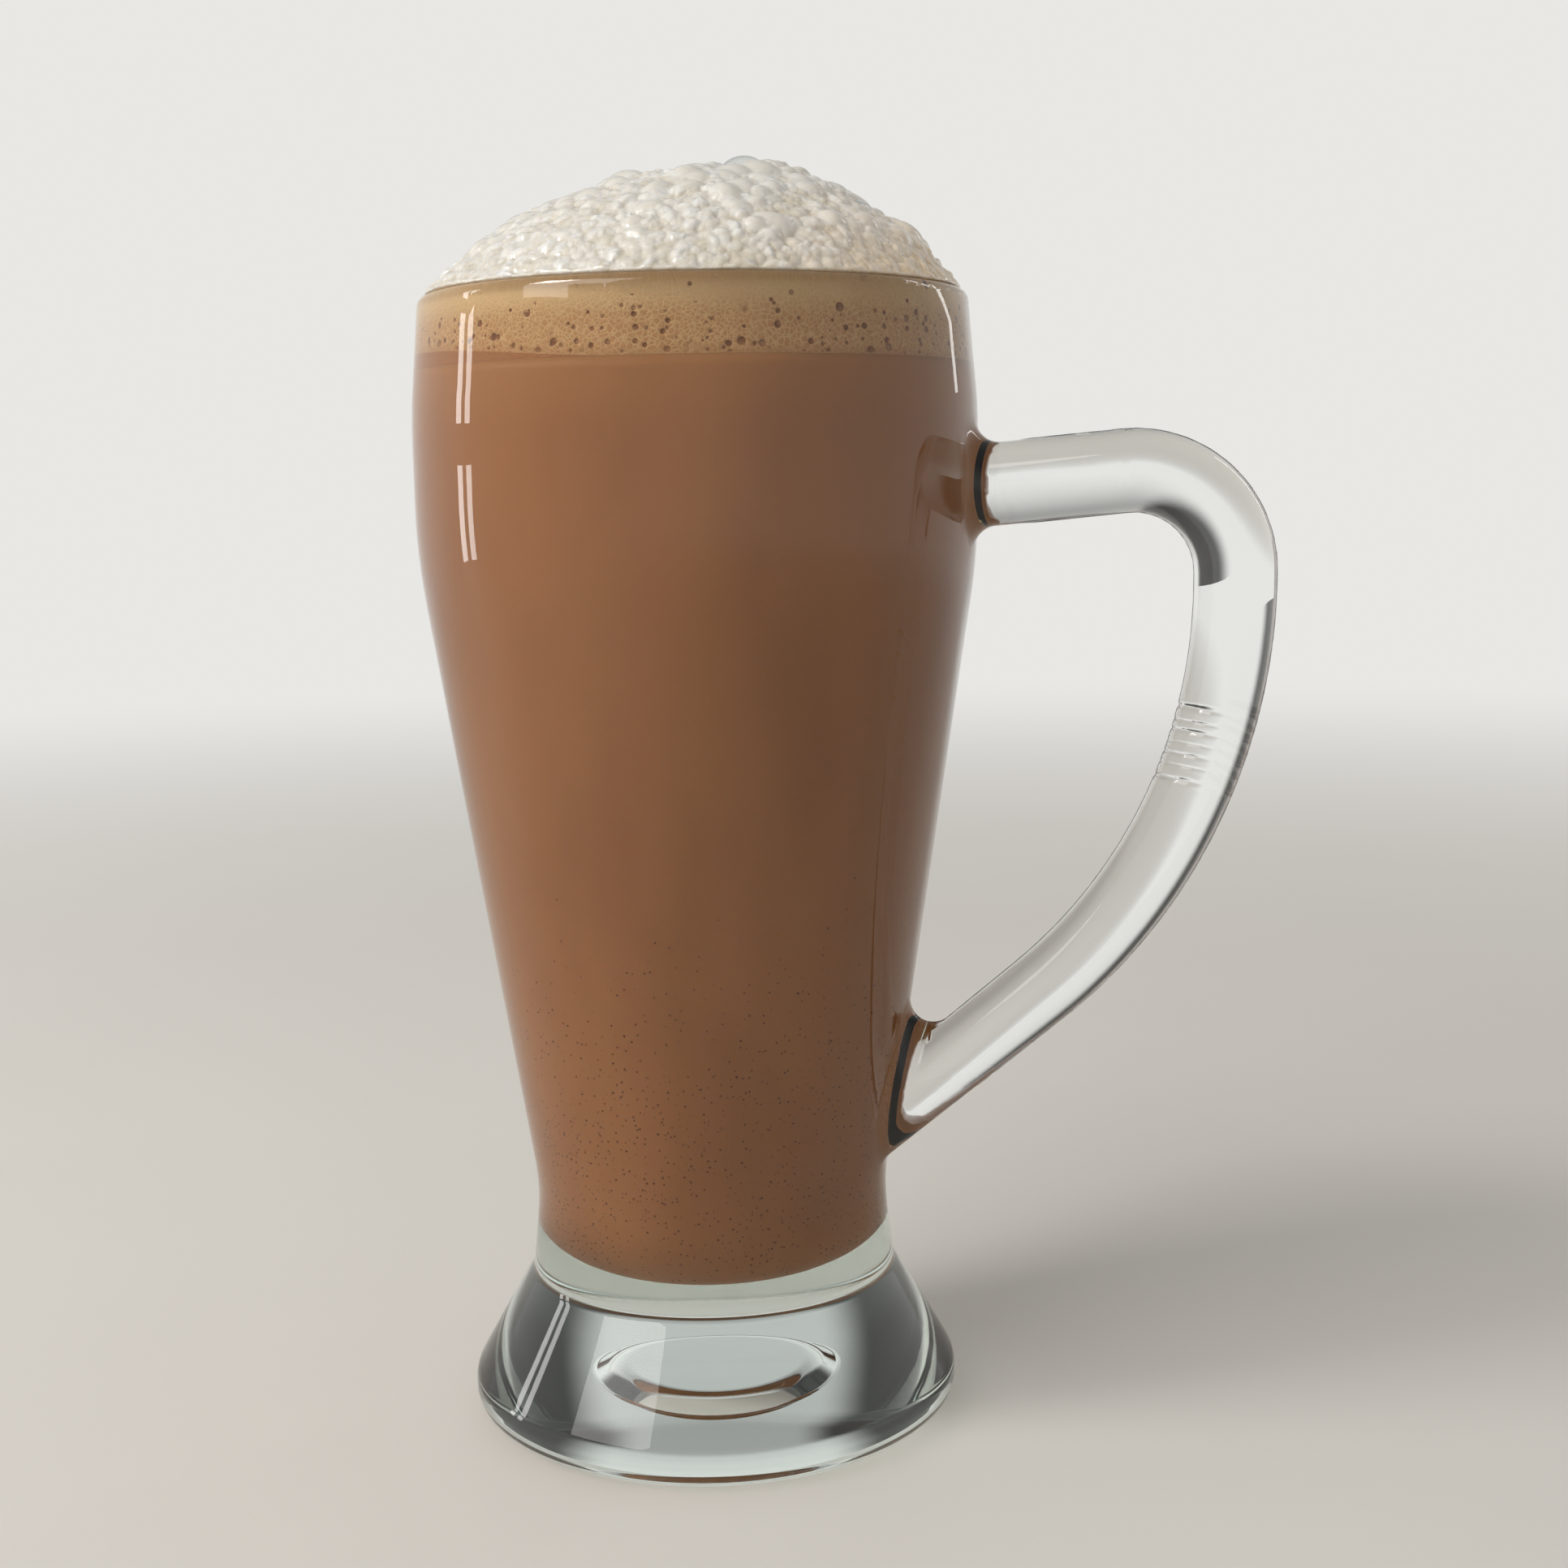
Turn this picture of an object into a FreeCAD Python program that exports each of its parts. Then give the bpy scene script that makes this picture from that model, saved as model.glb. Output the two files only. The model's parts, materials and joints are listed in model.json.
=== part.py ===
import FreeCAD, Part
import math
import os
import Sketcher

# A footed glass mug of pulled milk tea under a dome of froth.
#
# Frame: the mug's axis is Z, the table is the plane z = 0 under its foot,
# and the handle points along +X. Lengths are in millimetres.

# ---------------------------------------------------------------- sizes

# name, value, what it is
SIZES = (
    ("glass_height", 150.0, "table to the crest of the rim"),
    ("foot_radius", 33.3, "widest radius of the foot"),
    ("foot_edge_height", 4.9, "height where the foot starts to draw in"),
    ("foot_bottom_round", 3.4, "rounding of the foot's lower edge"),
    ("foot_top_round", 4.0, "rounding of the foot's upper edge"),
    ("base_ring_radius", 11.6, "inner radius of the ring that the mug stands on"),
    ("base_ring_round", 0.8, "rounding of that ring's inner edge"),
    ("push_up_height", 2.0, "rise of the hollow under the foot"),
    ("push_up_radius", 9.4, "where that hollow's roof turns down"),
    ("push_up_round", 3.0, "rounding of that turn"),
    ("neck_radius", 24.9, "radius where the foot meets the bowl"),
    ("neck_height", 19.6, "height where the foot meets the bowl"),
    ("neck_round", 4.5, "rounding of that corner"),
    ("waist_radius", 23.75, "smallest radius of the mug"),
    ("waist_height", 30.5, "height of the smallest radius"),
    ("waist_round", 30.0, "rounding from the waist into the bowl"),
    ("shoulder_radius", 37.1, "widest radius of the bowl"),
    ("shoulder_drop", 33.0, "how far below the rim the bowl stops widening"),
    ("shoulder_round", 92.0, "rounding of that turn"),
    ("collar_drop", 15.0, "how far below the rim the bowl starts to close"),
    ("collar_round", 60.0, "rounding of that turn"),
    ("rim_closing", 1.3, "how far the rim draws in from the widest radius"),
    ("rim_outer_round", 1.45, "rounding of the rim's outer edge"),
    ("rim_inner_round", 1.15, "rounding of the rim's inner edge"),
    ("wall", 2.7, "wall of the bowl"),
    ("floor_height", 20.8, "inside floor above the table"),
    ("floor_wall", 4.2, "glass left beside the floor's corner, from the waist's radius"),
    ("floor_round", 10.5, "rounding between the floor and the wall"),
    ("handle_drop", 25.9, "how far below the rim the handle's upper end is"),
    ("handle_rise", 3.5, "how far the upper arm climbs to its bend"),
    ("handle_grip", 32.9, "from the bowl's widest radius out to the handle's centre line"),
    ("handle_bend_round", 12.8, "radius of the upper bend"),
    ("handle_sweep_height", 80.1, "height where the long sweep turns in"),
    ("handle_sweep_round", 71.0, "radius of the long sweep"),
    ("handle_foot_height", 34.9, "height of the handle's lower end, inside the bowl's wall"),
    ("handle_root_depth", 6.2, "how far in from the rim's and the waist's skin its ends start"),
    ("handle_upper_girth", 10.7, "diameter of the handle at its upper end"),
    ("handle_lower_girth", 9.2, "diameter of the handle at its lower end"),
    ("handle_fillet", 3.2, "fillet between the handle and the bowl"),
    ("fill_clearance", 0.05, "gap between the drink and the glass"),
    ("froth_depth", 9.5, "froth in the bowl, from the tea up to the rim"),
    ("dome_lap", 0.4, "how far the froth laps over the rim's crest"),
    ("dome_foot", 0.5, "thickness of the froth's edge on the rim"),
    ("dome_rise", 15.2, "rise of the froth's peak above that edge"),
    ("dome_shift", 9.0, "how far its peak lies from the axis"),
    ("dome_turn", 17.0, "direction of its peak, in degrees from the handle"),
    ("dome_power", 2.1, "how flat the dome is on top"),
    ("dome_lean", 0.35, "how much flatter it is behind its peak, and sharper before it"),
    ("dome_wave_height", 0.35, "height of its slow ups and downs"),
    ("dome_wave_length", 20.0, "length of those ups and downs"),
    ("bubble_count", 16.0, "large bubbles on the dome"),
    ("bubble_radius", 3.0, "radius of the largest of them, at the peak"),
    ("outer_bubble_radius", 1.4, "radius of those furthest from the peak"),
    ("bubble_spread", 21.5, "how far from the peak they lie"),
    ("bubble_rise", 0.45, "how far each stands out, as a share of its radius"),
)


class Size:
    """A length with the expression that gives it in the document."""

    def __init__(self, value, text):
        self.value = value
        self.text = text

    @staticmethod
    def of(thing):
        return thing if isinstance(thing, Size) else Size(float(thing), repr(float(thing)))

    def combine(self, other, value, sign):
        return Size(value, "(%s %s %s)" % (self.text, sign, other.text))

    def __add__(self, other):
        other = Size.of(other)
        return self.combine(other, self.value + other.value, "+")

    def __sub__(self, other):
        other = Size.of(other)
        return self.combine(other, self.value - other.value, "-")

    def __mul__(self, other):
        other = Size.of(other)
        return self.combine(other, self.value * other.value, "*")


class Sizes:
    """Every driving size as an attribute, each a cell of the sheet, and the heights they give."""

    def __init__(self, doc):
        sheet = doc.addObject("Spreadsheet::Sheet", "Sizes")
        for row, (name, value, note) in enumerate(SIZES, start=1):
            sheet.set("A%d" % row, name)
            sheet.set("B%d" % row, str(value))
            sheet.set("C%d" % row, note)
            sheet.setAlias("B%d" % row, name)
            setattr(self, name, Size(value, "Sizes." + name))
        self.rim_radius = self.shoulder_radius - self.rim_closing
        self.handle_reach = self.shoulder_radius + self.handle_grip
        self.shoulder_height = self.glass_height - self.shoulder_drop
        self.collar_height = self.glass_height - self.collar_drop
        self.handle_top = self.glass_height - self.handle_drop
        self.tea_level = self.glass_height - self.froth_depth


# ---------------------------------------------------------------- outlines

NOTHING = Size(0.0, "0.0")
TOUCHING = 0.001  # millimetres within which two shapes touch
CLOSE = 0.01      # millimetres within which a box, which is a little loose, is at a place


class Corner:
    """A corner of an outline: its two coordinates, and its rounding if any."""

    def __init__(self, across, up, rounding=None):
        self.across = Size.of(across)
        self.up = Size.of(up)
        self.rounding = rounding

    def point(self):
        return FreeCAD.Vector(self.across.value, self.up.value, 0)


def rounded_corner(before, corner, after):
    """The start, centre and end of the arc that rounds a corner."""
    here = corner.point()
    back = (before.point() - here).normalize()
    ahead = (after.point() - here).normalize()
    half = back.getAngle(ahead) / 2
    radius = corner.rounding.value
    run = radius / math.tan(half)
    middle = (back + ahead).normalize() * (radius / math.sin(half))
    return here + back * run, here + middle, here + ahead * run


def arc_edge(start, centre, end):
    """The short arc from start to end about centre, and whether it runs backwards."""
    first = math.atan2(start.y - centre.y, start.x - centre.x)
    last = math.atan2(end.y - centre.y, end.x - centre.x)
    clockwise = math.sin(last - first) < 0
    if clockwise:
        first, last = last, first
    circle = Part.Circle(centre, FreeCAD.Vector(0, 0, 1), (start - centre).Length)
    return Part.ArcOfCircle(circle, first, last), clockwise


def origin_plane(body, role):
    """One of a body's own origin planes."""
    for feature in body.Origin.OriginFeatures:
        if feature.Role == role:
            return feature
    raise LookupError(role)


def new_sketch(body, name, role):
    """An empty sketch on one of the body's origin planes."""
    sketch = body.newObject("Sketcher::SketchObject", name)
    sketch.AttachmentSupport = (origin_plane(body, role), "")
    sketch.MapMode = "FlatFace"
    return sketch


def bind(sketch, constraint, name, size):
    """Adds a named constraint and binds it to its size."""
    index = sketch.addConstraint(constraint)
    sketch.renameConstraint(index, name)
    sketch.setExpression("Constraints." + name, size.text)


def place_point(sketch, item, end, corner, name):
    """Holds a point of the sketch at a corner's coordinates."""
    for letter, kind, size in (("x", "DistanceX", corner.across), ("y", "DistanceY", corner.up)):
        if abs(size.value) < TOUCHING:
            axis = -2 if letter == "x" else -1
            sketch.addConstraint(Sketcher.Constraint("PointOnObject", item, end, axis))
        else:
            rule = Sketcher.Constraint(kind, -1, 1, item, end, size.value)
            bind(sketch, rule, "%s_%s" % (name, letter), size)


def draw_outline(sketch, corners, closed):
    """Draws straight runs between corners, with an arc at each rounded one."""
    count = len(corners)
    arcs = {}
    for number, corner in enumerate(corners):
        if corner.rounding is not None:
            before = corners[number - 1]
            after = corners[(number + 1) % count]
            arcs[number] = rounded_corner(before, corner, after)
    runs = count if closed else count - 1
    lines = []
    for number in range(runs):
        following = (number + 1) % count
        start = arcs[number][2] if number in arcs else corners[number].point()
        end = arcs[following][0] if following in arcs else corners[following].point()
        lines.append(sketch.addGeometry(Part.LineSegment(start, end), False))
    for number, corner in enumerate(corners):
        name = "corner_%d" % number
        into = lines[number - 1] if closed or number > 0 else None
        out = lines[number] if number < runs else None
        if number not in arcs:
            held = (out, 1) if out is not None else (into, 2)
            place_point(sketch, held[0], held[1], corner, name)
            if into is not None and out is not None:
                sketch.addConstraint(Sketcher.Constraint("Coincident", into, 2, out, 1))
            continue
        start, centre, end = arcs[number]
        edge, clockwise = arc_edge(start, centre, end)
        arc = sketch.addGeometry(edge, False)
        mark = sketch.addGeometry(Part.Point(corner.point()), True)
        near, far = (2, 1) if clockwise else (1, 2)
        place_point(sketch, mark, 1, corner, name)
        sketch.addConstraint(Sketcher.Constraint("PointOnObject", mark, 1, into))
        sketch.addConstraint(Sketcher.Constraint("PointOnObject", mark, 1, out))
        sketch.addConstraint(Sketcher.Constraint("Tangent", into, 2, arc, near))
        sketch.addConstraint(Sketcher.Constraint("Tangent", arc, far, out, 1))
        bind(sketch, Sketcher.Constraint("Radius", arc, corner.rounding.value),
             name + "_round", corner.rounding)


def turn(body, kind, name, sketch, doc):
    """Turns a half outline about the mug's axis."""
    feature = body.newObject("PartDesign::" + kind, name)
    feature.Profile = sketch
    feature.ReferenceAxis = (sketch, ["V_Axis"])
    feature.Angle = 360.0
    sketch.Visibility = False
    doc.recompute()
    return feature


# ---------------------------------------------------------------- the glass

def outer_corners(size):
    """Half of the glass in section, still solid up to its rim."""
    return (
        Corner(0.0, size.push_up_height),
        Corner(size.push_up_radius, size.push_up_height, size.push_up_round),
        Corner(size.base_ring_radius, 0.0, size.base_ring_round),
        Corner(size.foot_radius, 0.0, size.foot_bottom_round),
        Corner(size.foot_radius, size.foot_edge_height, size.foot_top_round),
        Corner(size.neck_radius, size.neck_height, size.neck_round),
        Corner(size.waist_radius, size.waist_height, size.waist_round),
        Corner(size.shoulder_radius, size.shoulder_height, size.shoulder_round),
        Corner(size.shoulder_radius, size.collar_height, size.collar_round),
        Corner(size.rim_radius, size.glass_height),
        Corner(0.0, size.glass_height),
    )


def inner_corners(size, clearance):
    """The bowl's inside from its floor to the rim, held in by a clearance."""
    radius = size.shoulder_radius - size.wall - clearance
    floor = size.floor_height + clearance
    floor_radius = size.waist_radius - size.floor_wall - clearance
    return (
        Corner(0.0, floor),
        Corner(floor_radius, floor, size.floor_round - clearance),
        Corner(radius, size.shoulder_height, size.shoulder_round),
        Corner(radius, size.collar_height, size.collar_round),
        Corner(size.rim_radius - size.wall - clearance, size.glass_height),
        Corner(0.0, size.glass_height),
    )


def handle_corners(size):
    """The handle's centre line: an upper arm, a bend, a long sweep and a lower arm."""
    return (
        Corner(size.rim_radius - size.handle_root_depth, size.handle_top),
        Corner(size.handle_reach, size.handle_top + size.handle_rise, size.handle_bend_round),
        Corner(size.handle_reach, size.handle_sweep_height, size.handle_sweep_round),
        Corner(size.waist_radius - size.handle_root_depth, size.handle_foot_height),
    )


def girth_sketch(body, name, end, along, girth):
    """The handle's round section at one end of its centre line."""
    sketch = new_sketch(body, name, "YZ_Plane")
    climb = math.degrees(math.atan2(along.y, along.x))
    tilt = FreeCAD.Rotation(FreeCAD.Vector(1, 0, 0), -climb)
    place = FreeCAD.Vector(0, end.up.value, end.across.value)
    sketch.AttachmentOffset = FreeCAD.Placement(place, tilt)
    sketch.setExpression("AttachmentOffset.Base.y", end.up.text)
    sketch.setExpression("AttachmentOffset.Base.z", end.across.text)
    outline = Part.Circle(FreeCAD.Vector(0, 0, 0), FreeCAD.Vector(0, 0, 1), girth.value / 2)
    circle = sketch.addGeometry(outline, False)
    sketch.addConstraint(Sketcher.Constraint("Coincident", circle, 3, -1, 1))
    bind(sketch, Sketcher.Constraint("Diameter", circle, girth.value), "girth", girth)
    return sketch


def add_handle(doc, body, size):
    """Sweeps the handle along its centre line, narrowing towards its foot."""
    corners = handle_corners(size)
    path = new_sketch(body, "HandleLine", "XZ_Plane")
    draw_outline(path, corners, closed=False)
    points = [corner.point() for corner in corners]
    upper = girth_sketch(body, "HandleUpperSection", corners[0], points[1] - points[0],
                         size.handle_upper_girth)
    lower = girth_sketch(body, "HandleLowerSection", corners[-1], points[-1] - points[-2],
                         size.handle_lower_girth)
    doc.recompute()
    pipe = body.newObject("PartDesign::AdditivePipe", "Handle")
    pipe.Profile = upper
    pipe.Spine = (path, [])
    pipe.Sections = [lower]
    pipe.Mode = "Standard"
    pipe.Transformation = "Multisection"
    for sketch in (path, upper, lower):
        sketch.Visibility = False
    doc.recompute()
    return pipe


def named_edges(shape, wanted):
    """The names of the edges that a test picks out."""
    return ["Edge%d" % number for number, edge in enumerate(shape.Edges, start=1) if wanted(edge)]


def fillet(doc, body, name, base, edges, radius):
    """Rounds edges of the latest feature."""
    feature = body.newObject("PartDesign::Fillet", name)
    feature.Base = (base, edges)
    feature.Radius = radius.value
    feature.setExpression("Radius", radius.text)
    doc.recompute()
    return feature


def is_rim(edge, size, radius):
    """Whether an edge is the circle of that radius at the rim."""
    box = edge.BoundBox
    level = abs(box.ZMin - size.glass_height.value) < CLOSE and box.ZLength < CLOSE
    return level and abs(box.XMax - radius.value) < CLOSE


def joint_edges(shape, base):
    """The edges where what was added to a base meets the base's skin."""
    skin = base.Shells[0]
    seams = Part.makeCompound(base.Edges)

    def new_on_skin(edge):
        middle = Part.Vertex(edge.valueAt((edge.FirstParameter + edge.LastParameter) / 2))
        on_skin = middle.distToShape(skin)[0] < TOUCHING
        return on_skin and middle.distToShape(seams)[0] > TOUCHING

    return named_edges(shape, new_on_skin)


def build_glass(doc, size):
    """The mug: one piece of glass with its bowl, its foot and its handle."""
    body = doc.addObject("PartDesign::Body", "glass_mug")
    outline = new_sketch(body, "OuterOutline", "XZ_Plane")
    draw_outline(outline, outer_corners(size), closed=True)
    doc.recompute()
    outside = turn(body, "Revolution", "Outside", outline, doc)
    handle = add_handle(doc, body, size)
    seam = joint_edges(handle.Shape, outside.Shape)
    fillet(doc, body, "HandleFillet", handle, seam, size.handle_fillet)

    inside = new_sketch(body, "InnerOutline", "XZ_Plane")
    draw_outline(inside, inner_corners(size, NOTHING), closed=True)
    doc.recompute()
    bowl = turn(body, "Groove", "Inside", inside, doc)

    outer_rim = named_edges(bowl.Shape, lambda edge: is_rim(edge, size, size.rim_radius))
    rim = fillet(doc, body, "OuterRim", bowl, outer_rim, size.rim_outer_round)
    throat = size.rim_radius - size.wall
    inner_rim = named_edges(rim.Shape, lambda edge: is_rim(edge, size, throat))
    fillet(doc, body, "InnerRim", rim, inner_rim, size.rim_inner_round)
    return body


# ---------------------------------------------------------------- the drink

def cut_away(doc, body, name, size, low, high):
    """Takes everything between two heights off a body."""
    outline = new_sketch(body, name + "Outline", "XZ_Plane")
    beyond = size.shoulder_radius * 2.0
    draw_outline(outline, (Corner(0.0, low), Corner(beyond, low),
                           Corner(beyond, high), Corner(0.0, high)), closed=True)
    doc.recompute()
    turn(body, "Groove", name, outline, doc)


def build_tea(doc, size):
    """The tea: all of the bowl's inside up to the froth."""
    body = doc.addObject("PartDesign::Body", "tea")
    outline = new_sketch(body, "TeaOutline", "XZ_Plane")
    draw_outline(outline, inner_corners(size, size.fill_clearance), closed=True)
    doc.recompute()
    turn(body, "Revolution", "BowlFull", outline, doc)
    cut_away(doc, body, "AboveTea", size, size.tea_level, size.glass_height * 2.0)
    return body


def build_froth_envelope(doc, size):
    """The froth's round outline: it fills the bowl above the tea and laps over the rim's crest."""
    body = doc.addObject("PartDesign::Body", "FrothEnvelope")
    outline = new_sketch(body, "FrothOutline", "XZ_Plane")
    gap = size.fill_clearance
    lip = size.rim_radius - size.rim_outer_round + size.dome_lap
    brim = size.glass_height + gap
    ceiling = size.glass_height + size.dome_rise * 2.0
    throat = Corner(size.rim_radius - size.wall - gap, brim, size.rim_inner_round + gap)
    over_rim = (throat, Corner(lip, brim), Corner(lip, ceiling), Corner(0.0, ceiling))
    draw_outline(outline, inner_corners(size, gap)[:4] + over_rim, closed=True)
    doc.recompute()
    turn(body, "Revolution", "BowlHeaped", outline, doc)
    cut_away(doc, body, "BelowFroth", size, NOTHING, size.tea_level)
    return body


def dome_peak(size):
    """Where the dome is highest."""
    turned = math.radians(size.dome_turn.value)
    shift = size.dome_shift.value
    return shift * math.cos(turned), shift * math.sin(turned)


def dome_foot_radius(size):
    """The radius of the froth's edge on the rim."""
    return (size.rim_radius - size.rim_outer_round + size.dome_lap).value


def dome_height_at(size, x, y):
    """The froth's height above the table at a place, also a little past its edge."""
    peak_x, peak_y = dome_peak(size)
    away_x = x - peak_x
    away_y = y - peak_y
    away = math.hypot(away_x, away_y)
    foot = dome_foot_radius(size)
    share = 0.0
    power = size.dome_power.value
    if away > 0.0:
        along = (peak_x * away_x + peak_y * away_y) / away
        power -= size.dome_lean.value * along / math.hypot(peak_x, peak_y)
        inside = foot ** 2 - peak_x ** 2 - peak_y ** 2
        share = away / (math.sqrt(along ** 2 + inside) - along)
    base = (size.glass_height + size.fill_clearance + size.dome_foot).value
    rise = size.dome_rise.value * (1.0 - share ** power)
    turn_rate = 2.0 * math.pi / size.dome_wave_length.value
    waves = math.sin(turn_rate * x + 0.7) * math.sin(0.87 * turn_rate * y - 0.4)
    ripples = 0.5 * math.sin(1.7 * turn_rate * x - 1.4 * turn_rate * y)
    calm_at_edge = max(0.0, 1.0 - share ** 4)
    return base + rise + size.dome_wave_height.value * (waves + ripples) * calm_at_edge


def build_dome_block(doc, size):
    """All that lies under the dome's uneven surface, as a block wider than the mug."""
    steps = 40
    half = dome_foot_radius(size) + size.wall.value
    places = [half * (2.0 * step / steps - 1.0) for step in range(steps + 1)]
    surface = Part.BSplineSurface()
    surface.interpolate([[FreeCAD.Vector(x, y, dome_height_at(size, x, y)) for x in places]
                         for y in places])
    depth = (size.glass_height + size.dome_rise).value
    block = doc.addObject("Part::Feature", "DomeBlock")
    block.Shape = surface.toShape().extrude(FreeCAD.Vector(0, 0, -depth))
    return block


def add_bubbles(doc, size):
    """The large bubbles, spread over the dome like a sunflower's seeds and smaller outwards."""
    golden_turn = math.pi * (3.0 - math.sqrt(5.0))
    count = int(size.bubble_count.value)
    peak_x, peak_y = dome_peak(size)
    shrink = size.bubble_radius - size.outer_bubble_radius
    bubbles = []
    for number in range(count):
        share = math.sqrt(number / count)
        radius = size.bubble_radius - shrink * share
        away = size.bubble_spread.value * share
        x = peak_x + away * math.cos(number * golden_turn)
        y = peak_y + away * math.sin(number * golden_turn)
        sunk = radius.value * (1.0 - size.bubble_rise.value)
        bubble = doc.addObject("Part::Sphere", "Bubble%d" % number)
        bubble.Radius = radius.value
        bubble.setExpression("Radius", radius.text)
        bubble.Placement.Base = FreeCAD.Vector(x, y, dome_height_at(size, x, y) - sunk)
        bubbles.append(bubble)
    return bubbles


def build_froth(doc, size):
    """The froth: its band in the bowl and its dome with large bubbles."""
    envelope = build_froth_envelope(doc, size)
    block = build_dome_block(doc, size)
    mass = doc.addObject("Part::Common", "FrothMass")
    mass.Base = envelope
    mass.Tool = block
    froth = doc.addObject("Part::MultiFuse", "froth")
    froth.Shapes = [mass] + add_bubbles(doc, size)
    doc.recompute()
    return froth


# ---------------------------------------------------------------- all of it

def check(doc, nodes):
    """Stops where anything failed, or where a sub-part isn't one sound solid."""
    for thing in doc.Objects:
        if "Invalid" in thing.State or "Error" in thing.State:
            raise RuntimeError("%s: %s" % (thing.Name, thing.State))
    for node in nodes:
        shape = node.Shape
        if shape.isNull() or not shape.isValid() or len(shape.Solids) != 1:
            raise RuntimeError("%s isn't one sound solid" % node.Label)


def main():
    doc = FreeCAD.newDocument("TehTarik")
    size = Sizes(doc)
    nodes = [build_glass(doc, size), build_tea(doc, size), build_froth(doc, size)]
    doc.recompute()
    check(doc, nodes)
    os.makedirs("parts", exist_ok=True)
    for node in nodes:
        node.Shape.exportStep("parts/%s.step" % node.Label)
        print("%s: %.0f mm3" % (node.Label, node.Shape.Volume))


main()
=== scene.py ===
"""A footed glass mug of pulled milk tea under a dome of froth.

The glass, the tea, the froth in the bowl, its dome and the clear bubbles on it are
each made by one operator, around the frame of the solid model. Lengths are in metres.
The mug's axis is Z, the table is z = 0 and the handle points along +X.
"""

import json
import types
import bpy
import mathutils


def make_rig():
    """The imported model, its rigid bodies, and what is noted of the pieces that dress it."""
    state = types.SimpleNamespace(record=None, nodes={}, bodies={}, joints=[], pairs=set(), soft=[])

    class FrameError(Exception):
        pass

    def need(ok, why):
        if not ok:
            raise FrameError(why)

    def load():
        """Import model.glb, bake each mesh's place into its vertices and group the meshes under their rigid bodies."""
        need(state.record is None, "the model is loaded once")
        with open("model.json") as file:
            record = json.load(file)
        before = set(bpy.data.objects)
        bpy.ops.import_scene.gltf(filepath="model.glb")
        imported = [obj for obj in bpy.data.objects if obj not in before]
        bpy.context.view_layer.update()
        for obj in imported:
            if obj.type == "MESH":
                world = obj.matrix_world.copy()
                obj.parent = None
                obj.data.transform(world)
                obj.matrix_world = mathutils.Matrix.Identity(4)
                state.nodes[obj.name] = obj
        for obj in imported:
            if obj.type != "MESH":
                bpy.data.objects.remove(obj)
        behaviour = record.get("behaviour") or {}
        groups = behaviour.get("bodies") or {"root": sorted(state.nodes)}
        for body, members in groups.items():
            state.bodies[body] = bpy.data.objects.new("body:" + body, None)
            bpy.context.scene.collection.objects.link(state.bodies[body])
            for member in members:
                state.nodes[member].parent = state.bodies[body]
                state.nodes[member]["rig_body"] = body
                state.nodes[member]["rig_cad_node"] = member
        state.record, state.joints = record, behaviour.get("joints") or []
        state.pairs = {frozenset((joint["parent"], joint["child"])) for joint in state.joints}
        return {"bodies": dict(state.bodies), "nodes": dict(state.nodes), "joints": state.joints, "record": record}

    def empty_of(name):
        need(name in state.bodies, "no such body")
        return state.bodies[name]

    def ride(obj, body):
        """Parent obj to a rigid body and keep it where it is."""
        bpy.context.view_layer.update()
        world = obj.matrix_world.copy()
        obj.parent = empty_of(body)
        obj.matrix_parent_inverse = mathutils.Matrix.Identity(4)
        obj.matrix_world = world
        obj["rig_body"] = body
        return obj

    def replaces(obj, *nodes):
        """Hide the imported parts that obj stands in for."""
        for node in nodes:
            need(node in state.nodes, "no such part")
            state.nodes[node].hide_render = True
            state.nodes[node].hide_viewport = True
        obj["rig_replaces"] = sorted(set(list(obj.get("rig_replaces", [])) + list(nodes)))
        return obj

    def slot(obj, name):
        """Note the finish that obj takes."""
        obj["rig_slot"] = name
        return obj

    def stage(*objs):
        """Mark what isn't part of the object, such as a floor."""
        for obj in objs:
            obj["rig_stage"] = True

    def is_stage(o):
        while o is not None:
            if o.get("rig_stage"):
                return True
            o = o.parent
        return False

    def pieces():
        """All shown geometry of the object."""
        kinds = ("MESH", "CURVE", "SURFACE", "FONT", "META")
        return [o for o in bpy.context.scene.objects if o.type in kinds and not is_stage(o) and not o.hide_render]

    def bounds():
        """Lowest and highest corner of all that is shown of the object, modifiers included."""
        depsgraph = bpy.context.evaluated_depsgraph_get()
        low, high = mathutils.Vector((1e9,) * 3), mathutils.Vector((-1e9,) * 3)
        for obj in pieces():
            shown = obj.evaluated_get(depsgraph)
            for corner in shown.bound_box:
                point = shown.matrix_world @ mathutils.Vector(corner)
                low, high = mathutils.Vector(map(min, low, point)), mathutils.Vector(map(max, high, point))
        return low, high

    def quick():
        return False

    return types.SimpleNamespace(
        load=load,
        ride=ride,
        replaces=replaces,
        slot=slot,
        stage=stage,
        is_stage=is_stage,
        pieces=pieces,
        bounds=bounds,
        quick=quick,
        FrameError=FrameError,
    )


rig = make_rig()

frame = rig.load()

import json
import math

import bmesh
import bpy
import numpy as np
from bpy.props import FloatProperty, FloatVectorProperty, IntProperty, PointerProperty
from mathutils import Matrix, Vector
from mathutils.bvhtree import BVHTree
from mathutils.interpolate import poly_3d_calc

bl_info = {
    "name": "Teh Tarik in a Glass Mug",
    "version": (1, 0, 0),
    "blender": (4, 5, 0),
    "location": "3D View > Sidebar > Teh Tarik",
    "description": "Milk tea with froth in a footed glass mug with a handle",
    "category": "Object",
}

CAD_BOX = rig.bounds()
MM = 0.001
# the level way across the camera's view, towards the handle
SIDE_X, SIDE_Y = 0.96, 0.28


# ---------------------------------------------------------------- properties

def srgb(red, green, blue):
    """A colour given in screen values of 0 to 255, as the linear values that shaders use."""
    shares = (value / 255.0 for value in (red, green, blue))
    return tuple(s / 12.92 if s <= 0.04045 else ((s + 0.055) / 1.055) ** 2.4 for s in shares)


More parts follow.
